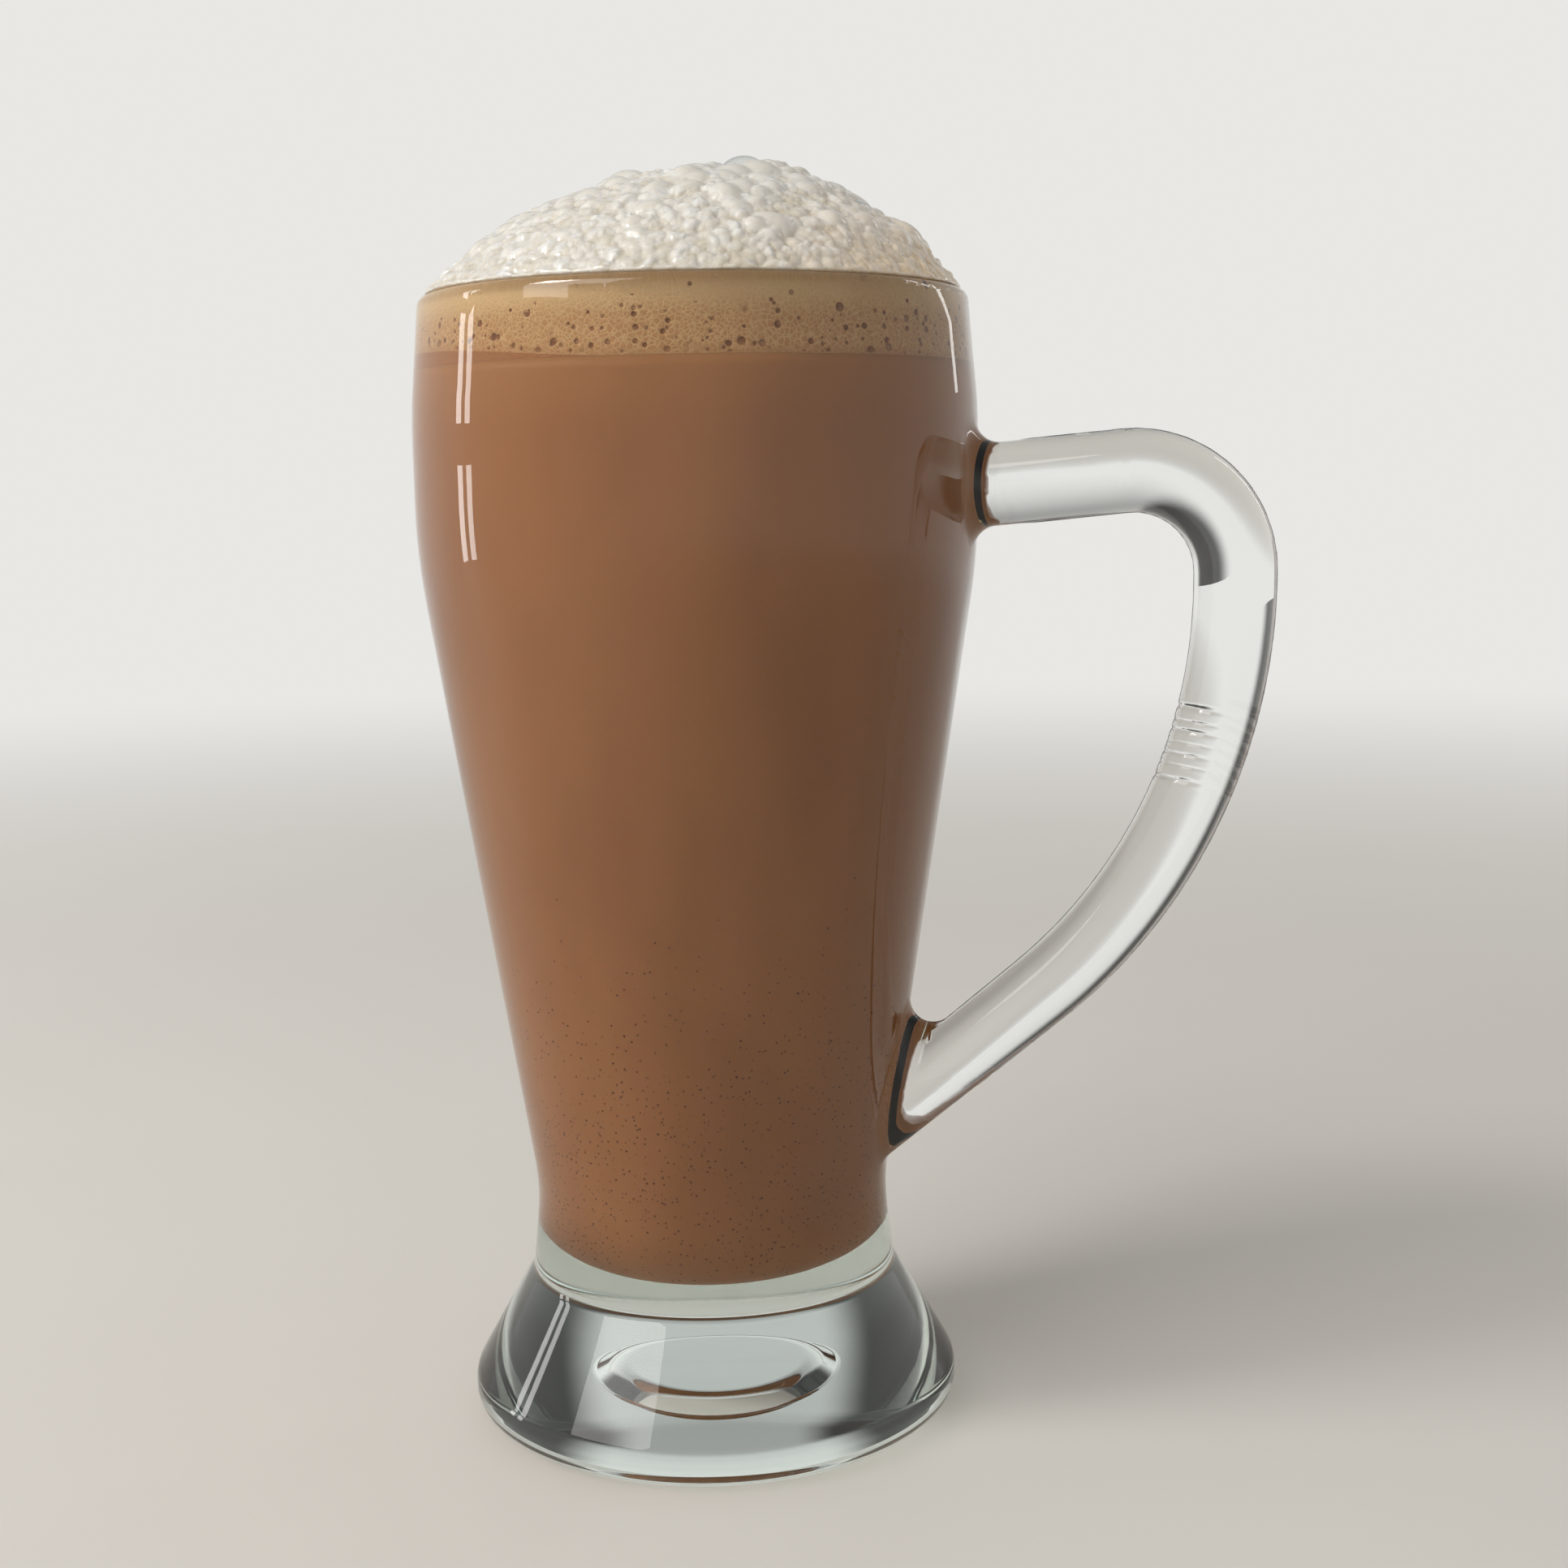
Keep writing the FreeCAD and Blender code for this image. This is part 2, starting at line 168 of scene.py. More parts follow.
def length(name, description, millimetres):
    return FloatProperty(name=name, description=description, default=millimetres * MM,
                         subtype="DISTANCE", unit="LENGTH", precision=5)


def number(name, description, default):
    return FloatProperty(name=name, description=description, default=default)


def angle(name, description, degrees):
    return FloatProperty(name=name, description=description, default=math.radians(degrees),
                         subtype="ANGLE", unit="ROTATION")


def colour(name, description, red, green, blue):
    return FloatVectorProperty(name=name, description=description, size=3, subtype="COLOR",
                               min=0.0, max=1.0, default=srgb(red, green, blue))


class MugProps(bpy.types.PropertyGroup):
    """The mug's own sizes, as in the solid model, and the marks its mould left."""

    glass_height: length("Height", "Table to the crest of the rim", 150.0)
    shoulder_radius: length("Shoulder Radius", "Widest radius of the bowl", 37.1)
    shoulder_height: length("Shoulder Height", "Where the bowl stops widening", 117.0)
    shoulder_round: length("Shoulder Rounding", "Rounding of that turn", 92.0)
    collar_height: length("Collar Height", "Where the bowl starts to close", 135.0)
    collar_round: length("Collar Rounding", "Rounding of that turn", 60.0)
    rim_radius: length("Rim Radius", "Outer radius at the rim", 35.8)
    rim_inner_round: length("Rim Inner Rounding", "Rounding of the rim's inner edge", 1.15)
    rim_outer_round: length("Rim Outer Rounding", "Rounding of the rim's outer edge", 1.45)
    wall: length("Wall", "Wall of the bowl", 2.7)
    foot_radius: length("Foot Radius", "Widest radius of the foot", 33.3)
    foot_edge_height: length("Foot Edge", "Height where the foot starts to draw in", 4.9)
    foot_bottom_round: length("Foot Bottom Rounding", "Rounding of its lower edge", 3.4)
    foot_top_round: length("Foot Top Rounding", "Rounding of its upper edge", 4.0)
    base_ring_radius: length("Base Ring", "Inner radius of the ring it stands on", 11.6)
    base_ring_round: length("Base Ring Rounding", "Rounding of that ring's edge", 0.8)
    push_up_height: length("Push-Up Height", "Rise of the hollow under the foot", 2.0)
    push_up_radius: length("Push-Up Radius", "Where the hollow's roof turns down", 9.4)
    push_up_round: length("Push-Up Rounding", "Rounding of that turn", 3.0)
    neck_radius: length("Neck Radius", "Radius where the foot meets the bowl", 24.9)
    neck_height: length("Neck Height", "Height where the foot meets the bowl", 19.6)
    neck_round: length("Neck Rounding", "Rounding of that corner", 4.5)
    waist_radius: length("Waist Radius", "Smallest radius of the mug", 23.75)
    waist_height: length("Waist Height", "Height of the smallest radius", 30.5)
    waist_round: length("Waist Rounding", "Rounding of the waist", 30.0)
    floor_height: length("Floor Height", "Inside floor above the table", 20.8)
    floor_wall: length("Floor Wall", "Glass beside the floor's corner", 4.2)
    floor_round: length("Floor Rounding", "Rounding of the floor's corner", 10.5)
    handle_top: length("Handle Top", "Height of the handle's upper end", 124.1)
    handle_rise: length("Handle Rise", "How far the upper arm climbs to its bend", 3.5)
    handle_reach: length("Handle Reach", "Centre line of the handle from the axis", 70.0)
    handle_bend_round: length("Handle Bend", "Radius of the upper bend", 12.8)
    handle_sweep_height: length("Sweep Height", "Where the long sweep turns in", 80.1)
    handle_sweep_round: length("Sweep Rounding", "Radius of the long sweep", 71.0)
    handle_foot_height: length("Handle Foot", "Height of the handle's lower end", 34.9)
    handle_root_depth: length("Handle Root", "How far in its ends start", 6.2)
    seam_height: length("Seam Height", "How far the mould seam stands out", 0.1)
    seam_width: length("Seam Width", "Half the width of the mould seam", 0.26)
    wrinkle_height: length("Wrinkle Height", "Depth of the chill marks on the handle", 0.2)
    wrinkle_level: length("Wrinkle Level", "Height of the chill marks on the handle", 91.0)
    wrinkle_spread: length("Wrinkle Spread", "Half the length of handle with marks", 5.6)
    tint: colour("Glass Tint", "Colour of thick glass", 206, 228, 220)
    tint_density: number("Tint Density", "How strongly thick glass is tinted, per metre", 9.0)


class TeaProps(bpy.types.PropertyGroup):
    """The tea's level, colours and specks."""

    level: length("Tea Level", "Height of the tea under the froth", 140.5)
    wall_reach: length("Reach Into Wall", "How far the tea goes into the glass", 0.15)
    body_colour: colour("Tea", "Milk tea", 164, 108, 61)
    deep_colour: colour("Tea Clouds", "Slightly darker clouds in the tea", 145, 92, 49)
    top_colour: colour("Tea Top", "Tea just under the froth", 170, 118, 70)
    speck_colour: colour("Specks", "Fine tea dust", 92, 54, 30)
    speck_size: length("Speck Size", "Mean radius of a speck", 0.105)
    speck_density: number("Speck Density", "Most specks per square metre", 1300000.0)
    speck_top: length("Speck Top", "Height above which there are no specks", 84.0)
    seed: IntProperty(name="Seed", description="Pattern of the specks", default=4)


class FrothProps(bpy.types.PropertyGroup):
    """The froth's dome, its bubbles and its colours."""

    dome_lap: length("Dome Lap", "How far the froth laps over the rim's crest", 0.4)
    dome_foot: length("Dome Foot", "Thickness of the froth's edge on the rim", 0.55)
    dome_rise: length("Dome Rise", "Rise of the peak above that edge", 15.2)
    dome_shift: length("Dome Shift", "How far the peak lies from the axis", 9.0)
    dome_turn: angle("Dome Turn", "Direction of the peak from the handle", 17.0)
    dome_power: number("Dome Flatness", "How flat the dome is on top", 2.1)
    dome_lean: number("Dome Lean", "How much flatter it is behind its peak", 0.35)
    dome_swell: length("Dome Swell", "How far the small bubbles lift the skin", 0.25)
    wave_height: length("Wave Height", "Slow ups and downs of the dome", 0.35)
    wave_length: length("Wave Length", "Length of those ups and downs", 20.0)
    large_bubble: length("Large Bubbles", "Cell of the largest froth bubbles", 6.2)
    middle_bubble: length("Middle Bubbles", "Cell of the middling froth bubbles", 3.3)
    small_bubble: length("Small Bubbles", "Cell of the small froth bubbles", 1.7)
    fine_bubble: length("Fine Bubbles", "Cell of the finest bubbles in the skin", 0.8)
    film_radius: length("Clear Bubble", "Radius of the large clear bubble on top", 4.0)
    film_wall: length("Film", "Thickness of a clear bubble's film", 0.1)
    dome_colour: colour("Froth", "Froth of the dome", 240, 238, 233)
    # painted shade: this colour darkens the dome's creases and the gaps between its bubbles; it also gives the larger
    # bubbles their clearer, darker skins and the random clouds their tone
    shade_colour: colour("Froth Shade And Skins", "Froth between and inside bubbles", 216, 205, 185)
    # this colour is also mixed into the dome's handle side as painted shade
    band_colour: colour("Froth In Bowl", "Froth seen through the glass", 222, 188, 138)
    cell_colour: colour("Bubble Cells", "Middle of the fine bubbles in the bowl", 180, 128, 76)
    pit_colour: colour("Bubble Pits", "Dark round bubbles in the bowl", 128, 74, 32)
    seed: IntProperty(name="Seed", description="Pattern of the bubbles", default=5)


class StageProps(bpy.types.PropertyGroup):
    """The camera, the floor and the lamps."""

    camera_distance: length("Camera Distance", "Level distance from the mug's axis", 287.8)
    camera_height: length("Camera Height", "Height above the table", 125.3)
    camera_turn: angle("Camera Turn", "How far the camera stands towards the handle", 16.0)
    camera_pitch: angle("Camera Pitch", "How far the camera looks down", 7.92)
    camera_yaw: angle("Camera Yaw", "How far the camera looks to its right", 2.15)
    camera_roll: angle("Camera Roll", "Tilt of the picture", -0.96)
    lens: number("Lens", "Focal length in millimetres on a 36 mm sensor", 49.3)
    floor_colour: colour("Floor", "Pale floor", 226, 222, 215)
    backdrop_colour: colour("Backdrop", "Pale backdrop", 232, 231, 228)
    light_level: number("Light Level", "Brightness of the light from all round", 0.42)


GROUPS = {"mug": MugProps, "tea": TeaProps, "froth": FrothProps, "stage": StageProps}


# ---------------------------------------------------------------- node trees

# bubbles against the glass: cell, least radius and its span in cells, the chance of one at
# the rim and at the tea, what the row along the tea adds, and where the pattern starts
PIT_LAYERS = ((1.25 * MM, 0.18, 0.12, 0.03, 0.95, 0.4, (0.013, 0.031, 0.007)),
              (1.7 * MM, 0.18, 0.12, 0.06, 0.85, 0.3, (0.117, 0.051, 0.037)),
              (2.5 * MM, 0.18, 0.10, 0.10, 0.65, 0.0, (0.217, 0.151, 0.137)),
              (5.0 * MM, 0.18, 0.09, 0.22, 0.10, 0.0, (0.071, 0.211, 0.117)))


class Signal:
    """A node's output socket that can be added, multiplied and so on."""

    def __init__(self, builder, socket):
        self.builder = builder
        self.socket = socket

    def __add__(self, other):
        return self.builder.math("ADD", self, other)

    def __sub__(self, other):
        return self.builder.math("SUBTRACT", self, other)

    def __mul__(self, other):
        return self.builder.math("MULTIPLY", self, other)

    def __truediv__(self, other):
        return self.builder.math("DIVIDE", self, other)

    def __pow__(self, other):
        return self.builder.math("POWER", self, other)

    def __radd__(self, other):
        return self.builder.math("ADD", other, self)

    def __rsub__(self, other):
        return self.builder.math("SUBTRACT", other, self)

    def __rmul__(self, other):
        return self.builder.math("MULTIPLY", other, self)

    def above(self, other):
        """1 where this is greater than the other, else 0."""
        return self.builder.math("GREATER_THAN", self, other)

    def least(self, other):
        """This value, but at least the other: the greater of the two."""
        return self.builder.math("MAXIMUM", self, other)

    def most(self, other):
        """This value, but at most the other: the lesser of the two."""
        return self.builder.math("MINIMUM", self, other)

    def root(self):
        return self.builder.math("SQRT", self)


class Builder:
    """Adds nodes to one tree."""

    def __init__(self, tree):
        self.tree = tree

    def node(self, kind, settings=None, values=None):
        """A node of a kind: its settings are set first, then its sockets' values or links."""
        made = self.tree.nodes.new(kind)
        for name, value in (settings or {}).items():
            setattr(made, name, value)
        for name, value in (values or {}).items():
            self.feed(made.inputs[name], value)
        return made

    def feed(self, socket, value):
        if isinstance(value, Signal):
            self.tree.links.new(value.socket, socket)
        else:
            socket.default_value = value

    def out(self, node, name=0):
        return Signal(self, node.outputs[name])

    def math(self, operation, *values):
        made = self.node("ShaderNodeMath", {"operation": operation}, dict(enumerate(values)))
        return self.out(made)

    def vector(self, operation, *values, out=0):
        made = self.node("ShaderNodeVectorMath", {"operation": operation},
                         dict(enumerate(values)))
        return self.out(made, out)

    def moved(self, place, offset):
        return self.vector("ADD", place, offset)

    def axes(self, place):
        split = self.node("ShaderNodeSeparateXYZ", None, {0: place})
        return [self.out(split, name) for name in "XYZ"]

    def ramp(self, value, low, high, start=0.0, end=1.0):
        """A smooth step of a value from low to high."""
        made = self.node("ShaderNodeMapRange", {"interpolation_type": "SMOOTHSTEP"}, {
            "Value": value, "From Min": low, "From Max": high, "To Min": start, "To Max": end})
        return self.out(made)

    def noise(self, place, size, detail=2.0, roughness=0.5):
        made = self.node("ShaderNodeTexNoise", {"noise_dimensions": "3D"}, {
            "Vector": place, "Scale": 1.0 / size, "Detail": detail, "Roughness": roughness})
        return self.out(made, 0)

    def cells(self, place, size, feature="F1", randomness=1.0):
        """A cell pattern: its node, whose distances are in cells."""
        return self.node("ShaderNodeTexVoronoi",
                         {"voronoi_dimensions": "3D", "feature": feature},
                         {"Vector": place, "Scale": 1.0 / size, "Randomness": randomness})

    def mix_shader(self, share, first, second):
        return self.out(self.node("ShaderNodeMixShader", None, {0: share, 1: first, 2: second}))

    def froth_floor(self, place, level):
        """Where the froth in the bowl begins: it is thinner on the side away from the handle."""
        x, y = self.axes(place)[:2]
        return level + self.ramp(x * SIDE_X + y * SIDE_Y, -9 * MM, -36 * MM) * (1.9 * MM)

    def pits(self, place, low, high):
        """Round bubbles seen against the glass, more of them low down: how far each place
        lies inside one, from 0 at its edge to 1 at its middle."""
        height = self.axes(place)[2]
        low = self.froth_floor(place, low)
        near = self.ramp(height, high - 1.6 * MM, low + 2.2 * MM)
        row = self.ramp(height, low + 2.4 * MM, low + 0.9 * MM)
        deepest = None
        for size, least, span, few, many, in_row, shift in PIT_LAYERS:
            cells = self.cells(self.moved(place, shift), size, randomness=0.6)
            random = self.axes(self.out(cells, "Color"))
            chance = few + near * (many - few) + row * in_row
            radius = (random[0] * random[0] * span + least) * chance.above(random[1]) + 0.001
            inside = 1.0 - self.out(cells, "Distance") / radius
            deepest = inside if deepest is None else deepest.least(inside)
        edges = self.ramp(height, low + 0.1 * MM, low + 0.45 * MM)
        edges = edges * self.ramp(height, high - 0.7 * MM, high - 1.3 * MM)
        return deepest.least(0.0) * edges


class Material(Builder):
    """A new material with a Principled shader."""

    def __init__(self, name, **constants):
        self.material = bpy.data.materials.new(name)
        self.material.use_nodes = True
        super().__init__(self.material.node_tree)
        self.tree.nodes.clear()
        self.output = self.node("ShaderNodeOutputMaterial")
        self.shader = self.node("ShaderNodeBsdfPrincipled", None, {
            key.replace("_", " "): value for key, value in constants.items()})
        self.surface(self.out(self.shader))

    def surface(self, shader):
        self.feed(self.output.inputs["Surface"], shader)

    def place(self):
        return self.out(self.node("ShaderNodeTexCoord"), "Object")

    def mix(self, share, first, second):
        made = self.node("ShaderNodeMix", {"data_type": "RGBA"},
                         {0: share, 6: first, 7: second})
        return self.out(made, 2)

    def bump(self, height, distance, strength=1.0, under=None):
        values = {"Height": height, "Distance": distance, "Strength": strength}
        if under is not None:
            values["Normal"] = under
        return self.out(self.node("ShaderNodeBump", None, values))

    def set(self, name, value):
        self.feed(self.shader.inputs[name], value)

    def attribute(self, name):
        made = self.node("ShaderNodeAttribute", {"attribute_name": name})
        return self.out(made, "Fac")

    def light_path(self, name):
        return self.out(self.node("ShaderNodeLightPath"), name)


def opaque(rgb):
    return (rgb[0], rgb[1], rgb[2], 1.0)


class Growth(Builder):
    """A Geometry Nodes tree with named inputs, used once on one object and then applied."""

    def __init__(self, name):
        super().__init__(bpy.data.node_groups.new(name, "GeometryNodeTree"))
        face = self.tree.interface
        face.new_socket("Geometry", in_out="INPUT", socket_type="NodeSocketGeometry")
        face.new_socket("Geometry", in_out="OUTPUT", socket_type="NodeSocketGeometry")
        self.inlet = self.node("NodeGroupInput")
        self.outlet = self.node("NodeGroupOutput")
        self.values = {}

    def input(self, name, value, kind="NodeSocketFloat"):
        """A named input of the tree, with the value that the modifier gives it."""
        socket = self.tree.interface.new_socket(name, in_out="INPUT", socket_type=kind)
        self.values[socket.identifier] = value
        return self.out(self.inlet, name)

    def geometry(self):
        return self.out(self.inlet, "Geometry")

    def finish(self, geometry, material, obj):
        """Closes the tree, runs it on the object and leaves a plain mesh."""
        real = self.node("GeometryNodeRealizeInstances", None, {0: geometry})
        finish = self.node("GeometryNodeSetMaterial", None,
                           {"Geometry": self.out(real), "Material": material})
        self.feed(self.outlet.inputs[0], self.out(finish))
        modifier = obj.modifiers.new(self.tree.name, "NODES")
        modifier.node_group = self.tree
        for identifier, value in self.values.items():
            modifier[identifier] = value
        graph = bpy.context.evaluated_depsgraph_get()
        mesh = bpy.data.meshes.new_from_object(obj.evaluated_get(graph))
        obj.modifiers.clear()
        old = obj.data
        obj.data = mesh
        bpy.data.meshes.remove(old)
        mesh.name = obj.name


# ---------------------------------------------------------------- shapes

def new_object(name, mesh):
    obj = bpy.data.objects.new(name, mesh)
    bpy.context.scene.collection.objects.link(obj)
    return obj


def mesh_from(name, points, faces):
    """A smooth mesh from points and faces."""
    mesh = bpy.data.meshes.new(name)
    mesh.from_pydata([tuple(p) for p in points], [], faces)
    mesh.validate()
    mesh.shade_smooth()
    return mesh


def rounded(corners, step):
    """The points of an outline whose corners, given as (across, up, rounding), are rounded."""
    points = []
    for index, (across, up, radius) in enumerate(corners):
        here = Vector((across, up))
        if not radius:
            points.append(here)
            continue
        back = (Vector(corners[index - 1][:2]) - here).normalized()
        ahead = (Vector(corners[index + 1][:2]) - here).normalized()
        half = back.angle(ahead) / 2.0
        centre = here + (back + ahead).normalized() * (radius / math.sin(half))
        start = here + back * (radius / math.tan(half)) - centre
        turn = math.pi - 2.0 * half
        side = 1.0 if back.cross(ahead) < 0 else -1.0
        parts = max(4, math.ceil(radius * turn / step))
        for part in range(parts + 1):
            spun = Matrix.Rotation(side * turn * part / parts, 2) @ start
            points.append(centre + spun)
    return points


def divided(points, step):
    """The same outline with no run longer than a step."""
    result = [points[0]]
    for before, after in zip(points, points[1:]):
        parts = max(1, math.ceil((after - before).length / step))
        result += [before.lerp(after, part / parts) for part in range(1, parts + 1)]
    return result


def turned(name, outline, sides):
    """A closed round body from an outline that starts and ends on the axis."""
    rings = outline[1:-1]
    points = [(0.0, 0.0, outline[0].y)]
    for ring in rings:
        for side in range(sides):
            around = 2.0 * math.pi * side / sides
            points.append((ring.x * math.cos(around), ring.x * math.sin(around), ring.y))
    points.append((0.0, 0.0, outline[-1].y))
    last = len(points) - 1
    faces = []
    for side in range(sides):
        after = (side + 1) % sides
        faces.append((0, 1 + after, 1 + side))
        for ring in range(len(rings) - 1):
            low = 1 + ring * sides
            high = low + sides
            faces.append((low + side, low + after, high + after, high + side))
        top = 1 + (len(rings) - 1) * sides
        faces.append((top + side, top + after, last))
    return mesh_from(name, points, faces)


def bowl_inside(mug, reach):
    """The bowl's inside from its floor to the rim, moved into the glass by a reach."""
    radius = mug.shoulder_radius - mug.wall + reach
    throat = mug.rim_radius - mug.wall + reach
    floor = mug.floor_height - reach
    corner = mug.waist_radius - mug.floor_wall + reach
    return [(0.0, floor, 0.0),
            (corner, floor, mug.floor_round + reach),
            (radius, mug.shoulder_height, mug.shoulder_round),
            (radius, mug.collar_height, mug.collar_round),
            (throat, mug.glass_height, 0.0)]


def foot_outside(mug):
    """The glass's outside from the middle of its base to the bowl's shoulder."""
    return [(0.0, mug.push_up_height, 0.0),
            (mug.push_up_radius, mug.push_up_height, mug.push_up_round),
            (mug.base_ring_radius, 0.0, mug.base_ring_round),
            (mug.foot_radius, 0.0, mug.foot_bottom_round),
            (mug.foot_radius, mug.foot_edge_height, mug.foot_top_round),
            (mug.neck_radius, mug.neck_height, mug.neck_round),
            (mug.waist_radius, mug.waist_height, mug.waist_round),
            (mug.shoulder_radius, mug.shoulder_height, 0.0)]


def foot_line(mug):
    """That outline as fine points, up to a little over the neck."""
    points = np.array(rounded(foot_outside(mug), 0.12 * MM))
    return points[:int(np.argmax(points[:, 1] > mug.neck_height + 6 * MM)) + 1]


def nearest_on(points, places):
    """The nearest points of a line in a plane: their run, the share along it and the way."""
    start = points[:-1]
    run = np.diff(points, axis=0)
    off = places[:, None, :] - start[None]
    share = np.clip((off * run).sum(-1) / (run * run).sum(-1), 0.0, 1.0)
    off -= share[..., None] * run
    near = np.argmin((off * off).sum(-1), axis=1)
    rows = np.arange(len(places))
    return near, share[rows, near], off[rows, near]


def cut_outline(outline, low, high):
    """The part of a rising outline between two heights, with a point at each."""
    kept = []
    for before, after in zip(outline, outline[1:]):
        for level in (low, high):
            if before.y < level <= after.y:
                kept.append(before.lerp(after, (level - before.y) / (after.y - before.y)))
        if low < after.y < high:
            kept.append(after.copy())
    kept.sort(key=lambda point: point.y)
    return kept


# ---------------------------------------------------------------- the dome's own form

class Dome:
    """The smooth form of the froth's dome."""

    def __init__(self, mug, froth):
        self.mug = mug
        self.froth = froth
        self.radius = mug.rim_radius - mug.rim_outer_round + froth.dome_lap
        self.peak = (froth.dome_shift * math.cos(froth.dome_turn),
                     froth.dome_shift * math.sin(froth.dome_turn))
        self.base = mug.glass_height + froth.dome_foot

    def height(self, x, y):
        """Height of the dome over one place or many."""
        froth = self.froth
        away_x = x - self.peak[0]
        away_y = y - self.peak[1]
        away = np.sqrt(away_x ** 2 + away_y ** 2) + 1e-12
        along = (away_x * self.peak[0] + away_y * self.peak[1]) / away
        inner = froth.dome_shift ** 2
        reach = -along + np.sqrt(along ** 2 + self.radius ** 2 - inner)
        share = np.minimum(away / reach, 1.0)
        power = froth.dome_power - froth.dome_lean * along / froth.dome_shift
        rate = 2.0 * math.pi / froth.wave_length
        waves = np.sin(rate * x + 0.7) * np.sin(0.87 * rate * y - 0.4)
        ripples = 0.5 * np.sin(1.7 * rate * x - 1.4 * rate * y)
        calm = np.maximum(0.0, 1.0 - share ** 4)
        rise = froth.dome_rise * (1.0 - share ** power)
        return self.base + rise + froth.wave_height * (waves + ripples) * calm

    def at(self, away, turn):
        """The point of the dome at a distance and direction from its peak."""
        x = self.peak[0] + away * math.cos(turn)
        y = self.peak[1] + away * math.sin(turn)
        return Vector((x, y, float(self.height(x, y))))


def disc_grid(count):
    """Places of a square grid laid evenly over a disc of radius one."""
    line = np.linspace(-1.0, 1.0, count)
    across, up = np.meshgrid(line, line)
    wide = np.abs(across) > np.abs(up)
    small = 1e-12
    radius = np.where(wide, across, up)
    ratio = np.where(wide, up / np.where(wide, across, 1.0),
                     across / np.where(np.abs(up) < small, 1.0, up))
    around = np.where(wide, ratio * math.pi / 4, math.pi / 2 - ratio * math.pi / 4)
    return radius * np.cos(around), radius * np.sin(around)


def dome_mesh(dome, count):
    """The dome as an even grid with its edge turned in over the rim, closed underneath."""
    x, y = disc_grid(count)
    share = np.hypot(x, y)
    steps = np.linspace(0.0, 1.0, 200)
    slope = dome.froth.dome_rise / dome.radius * dome.froth.dome_power * steps ** (
        dome.froth.dome_power - 1.0)
    run = np.concatenate([[0.0], np.cumsum(np.hypot(1.0, slope)[1:])])
    even = np.interp(share, run / run[-1], steps)
    stretch = np.where(share > 1e-9, even / np.maximum(share, 1e-9), 1.0) * dome.radius
    x = x * stretch
    y = y * stretch
    z = dome.height(x, y)
    points = np.stack([x, y, z], -1).reshape(-1, 3).tolist()
    faces = [(r * count + c, r * count + c + 1, (r + 1) * count + c + 1, (r + 1) * count + c)
             for r in range(count - 1) for c in range(count - 1)]
    last = count - 1
    edge = list(range(count))
    edge += [r * count + last for r in range(1, count)]
    edge += [last * count + c for c in range(last - 1, -1, -1)]
    edge += [r * count for r in range(last - 1, 0, -1)]
    mug = dome.mug
    skirt = ((dome.radius + 0.12 * MM, dome.base - 0.2 * MM),
             (dome.radius + 0.02 * MM, dome.base - 0.42 * MM),
             (dome.radius - 0.5 * MM, mug.glass_height + 0.02 * MM),
             (mug.rim_radius - mug.wall - 1.5 * MM, mug.glass_height - 1.2 * MM))
    ring = edge
    for radius, height in skirt:
        start = len(points)
        for index in edge:
            around = math.atan2(points[index][1], points[index][0])
            points.append([radius * math.cos(around), radius * math.sin(around), height])
        new = list(range(start, start + len(edge)))
        for here in range(len(edge)):
            after = (here + 1) % len(edge)
            faces.append((ring[after], ring[here], new[here], new[after]))
        ring = new
    centre = len(points)
    points.append([0.0, 0.0, skirt[-1][1]])
    for here in range(len(edge)):
        faces.append((ring[(here + 1) % len(edge)], ring[here], centre))
    return mesh_from("froth_dome", points, faces)


# ---------------------------------------------------------------- materials

def glass_material(mug):
    """Clear pressed glass, faintly green where it is thick, that lets lamps through."""
    make = Material("clear_glass", Base_Color=(1.0, 1.0, 1.0, 1.0), Roughness=0.0, IOR=1.51,
                    Transmission_Weight=1.0)
    place = make.place()
    slow = make.noise(place, 22 * MM, detail=1.0)
    drawn = make.noise(make.vector("MULTIPLY", place, (1.0, 1.0, 0.22)), 5 * MM, detail=1.0)
    normal = make.bump(slow, 0.25 * MM, 0.15)
    normal = make.bump(drawn, 0.02 * MM, 0.25, under=normal)
    make.set("Normal", normal)
    smears = make.ramp(make.noise(place, 14 * MM, detail=3.0), 0.5, 0.75)
    make.set("Roughness", smears * 0.035)
    clear = make.out(make.node("ShaderNodeBsdfTransparent", None,
                               {"Color": (0.93, 0.95, 0.945, 1.0)}))
    make.surface(make.mix_shader(make.light_path("Is Shadow Ray"),
                                 make.out(make.shader), clear))
    tint = make.node("ShaderNodeVolumeAbsorption", None,
                     {"Color": opaque(mug.tint), "Density": mug.tint_density})
    make.feed(make.output.inputs["Volume"], make.out(tint))
    return make.material


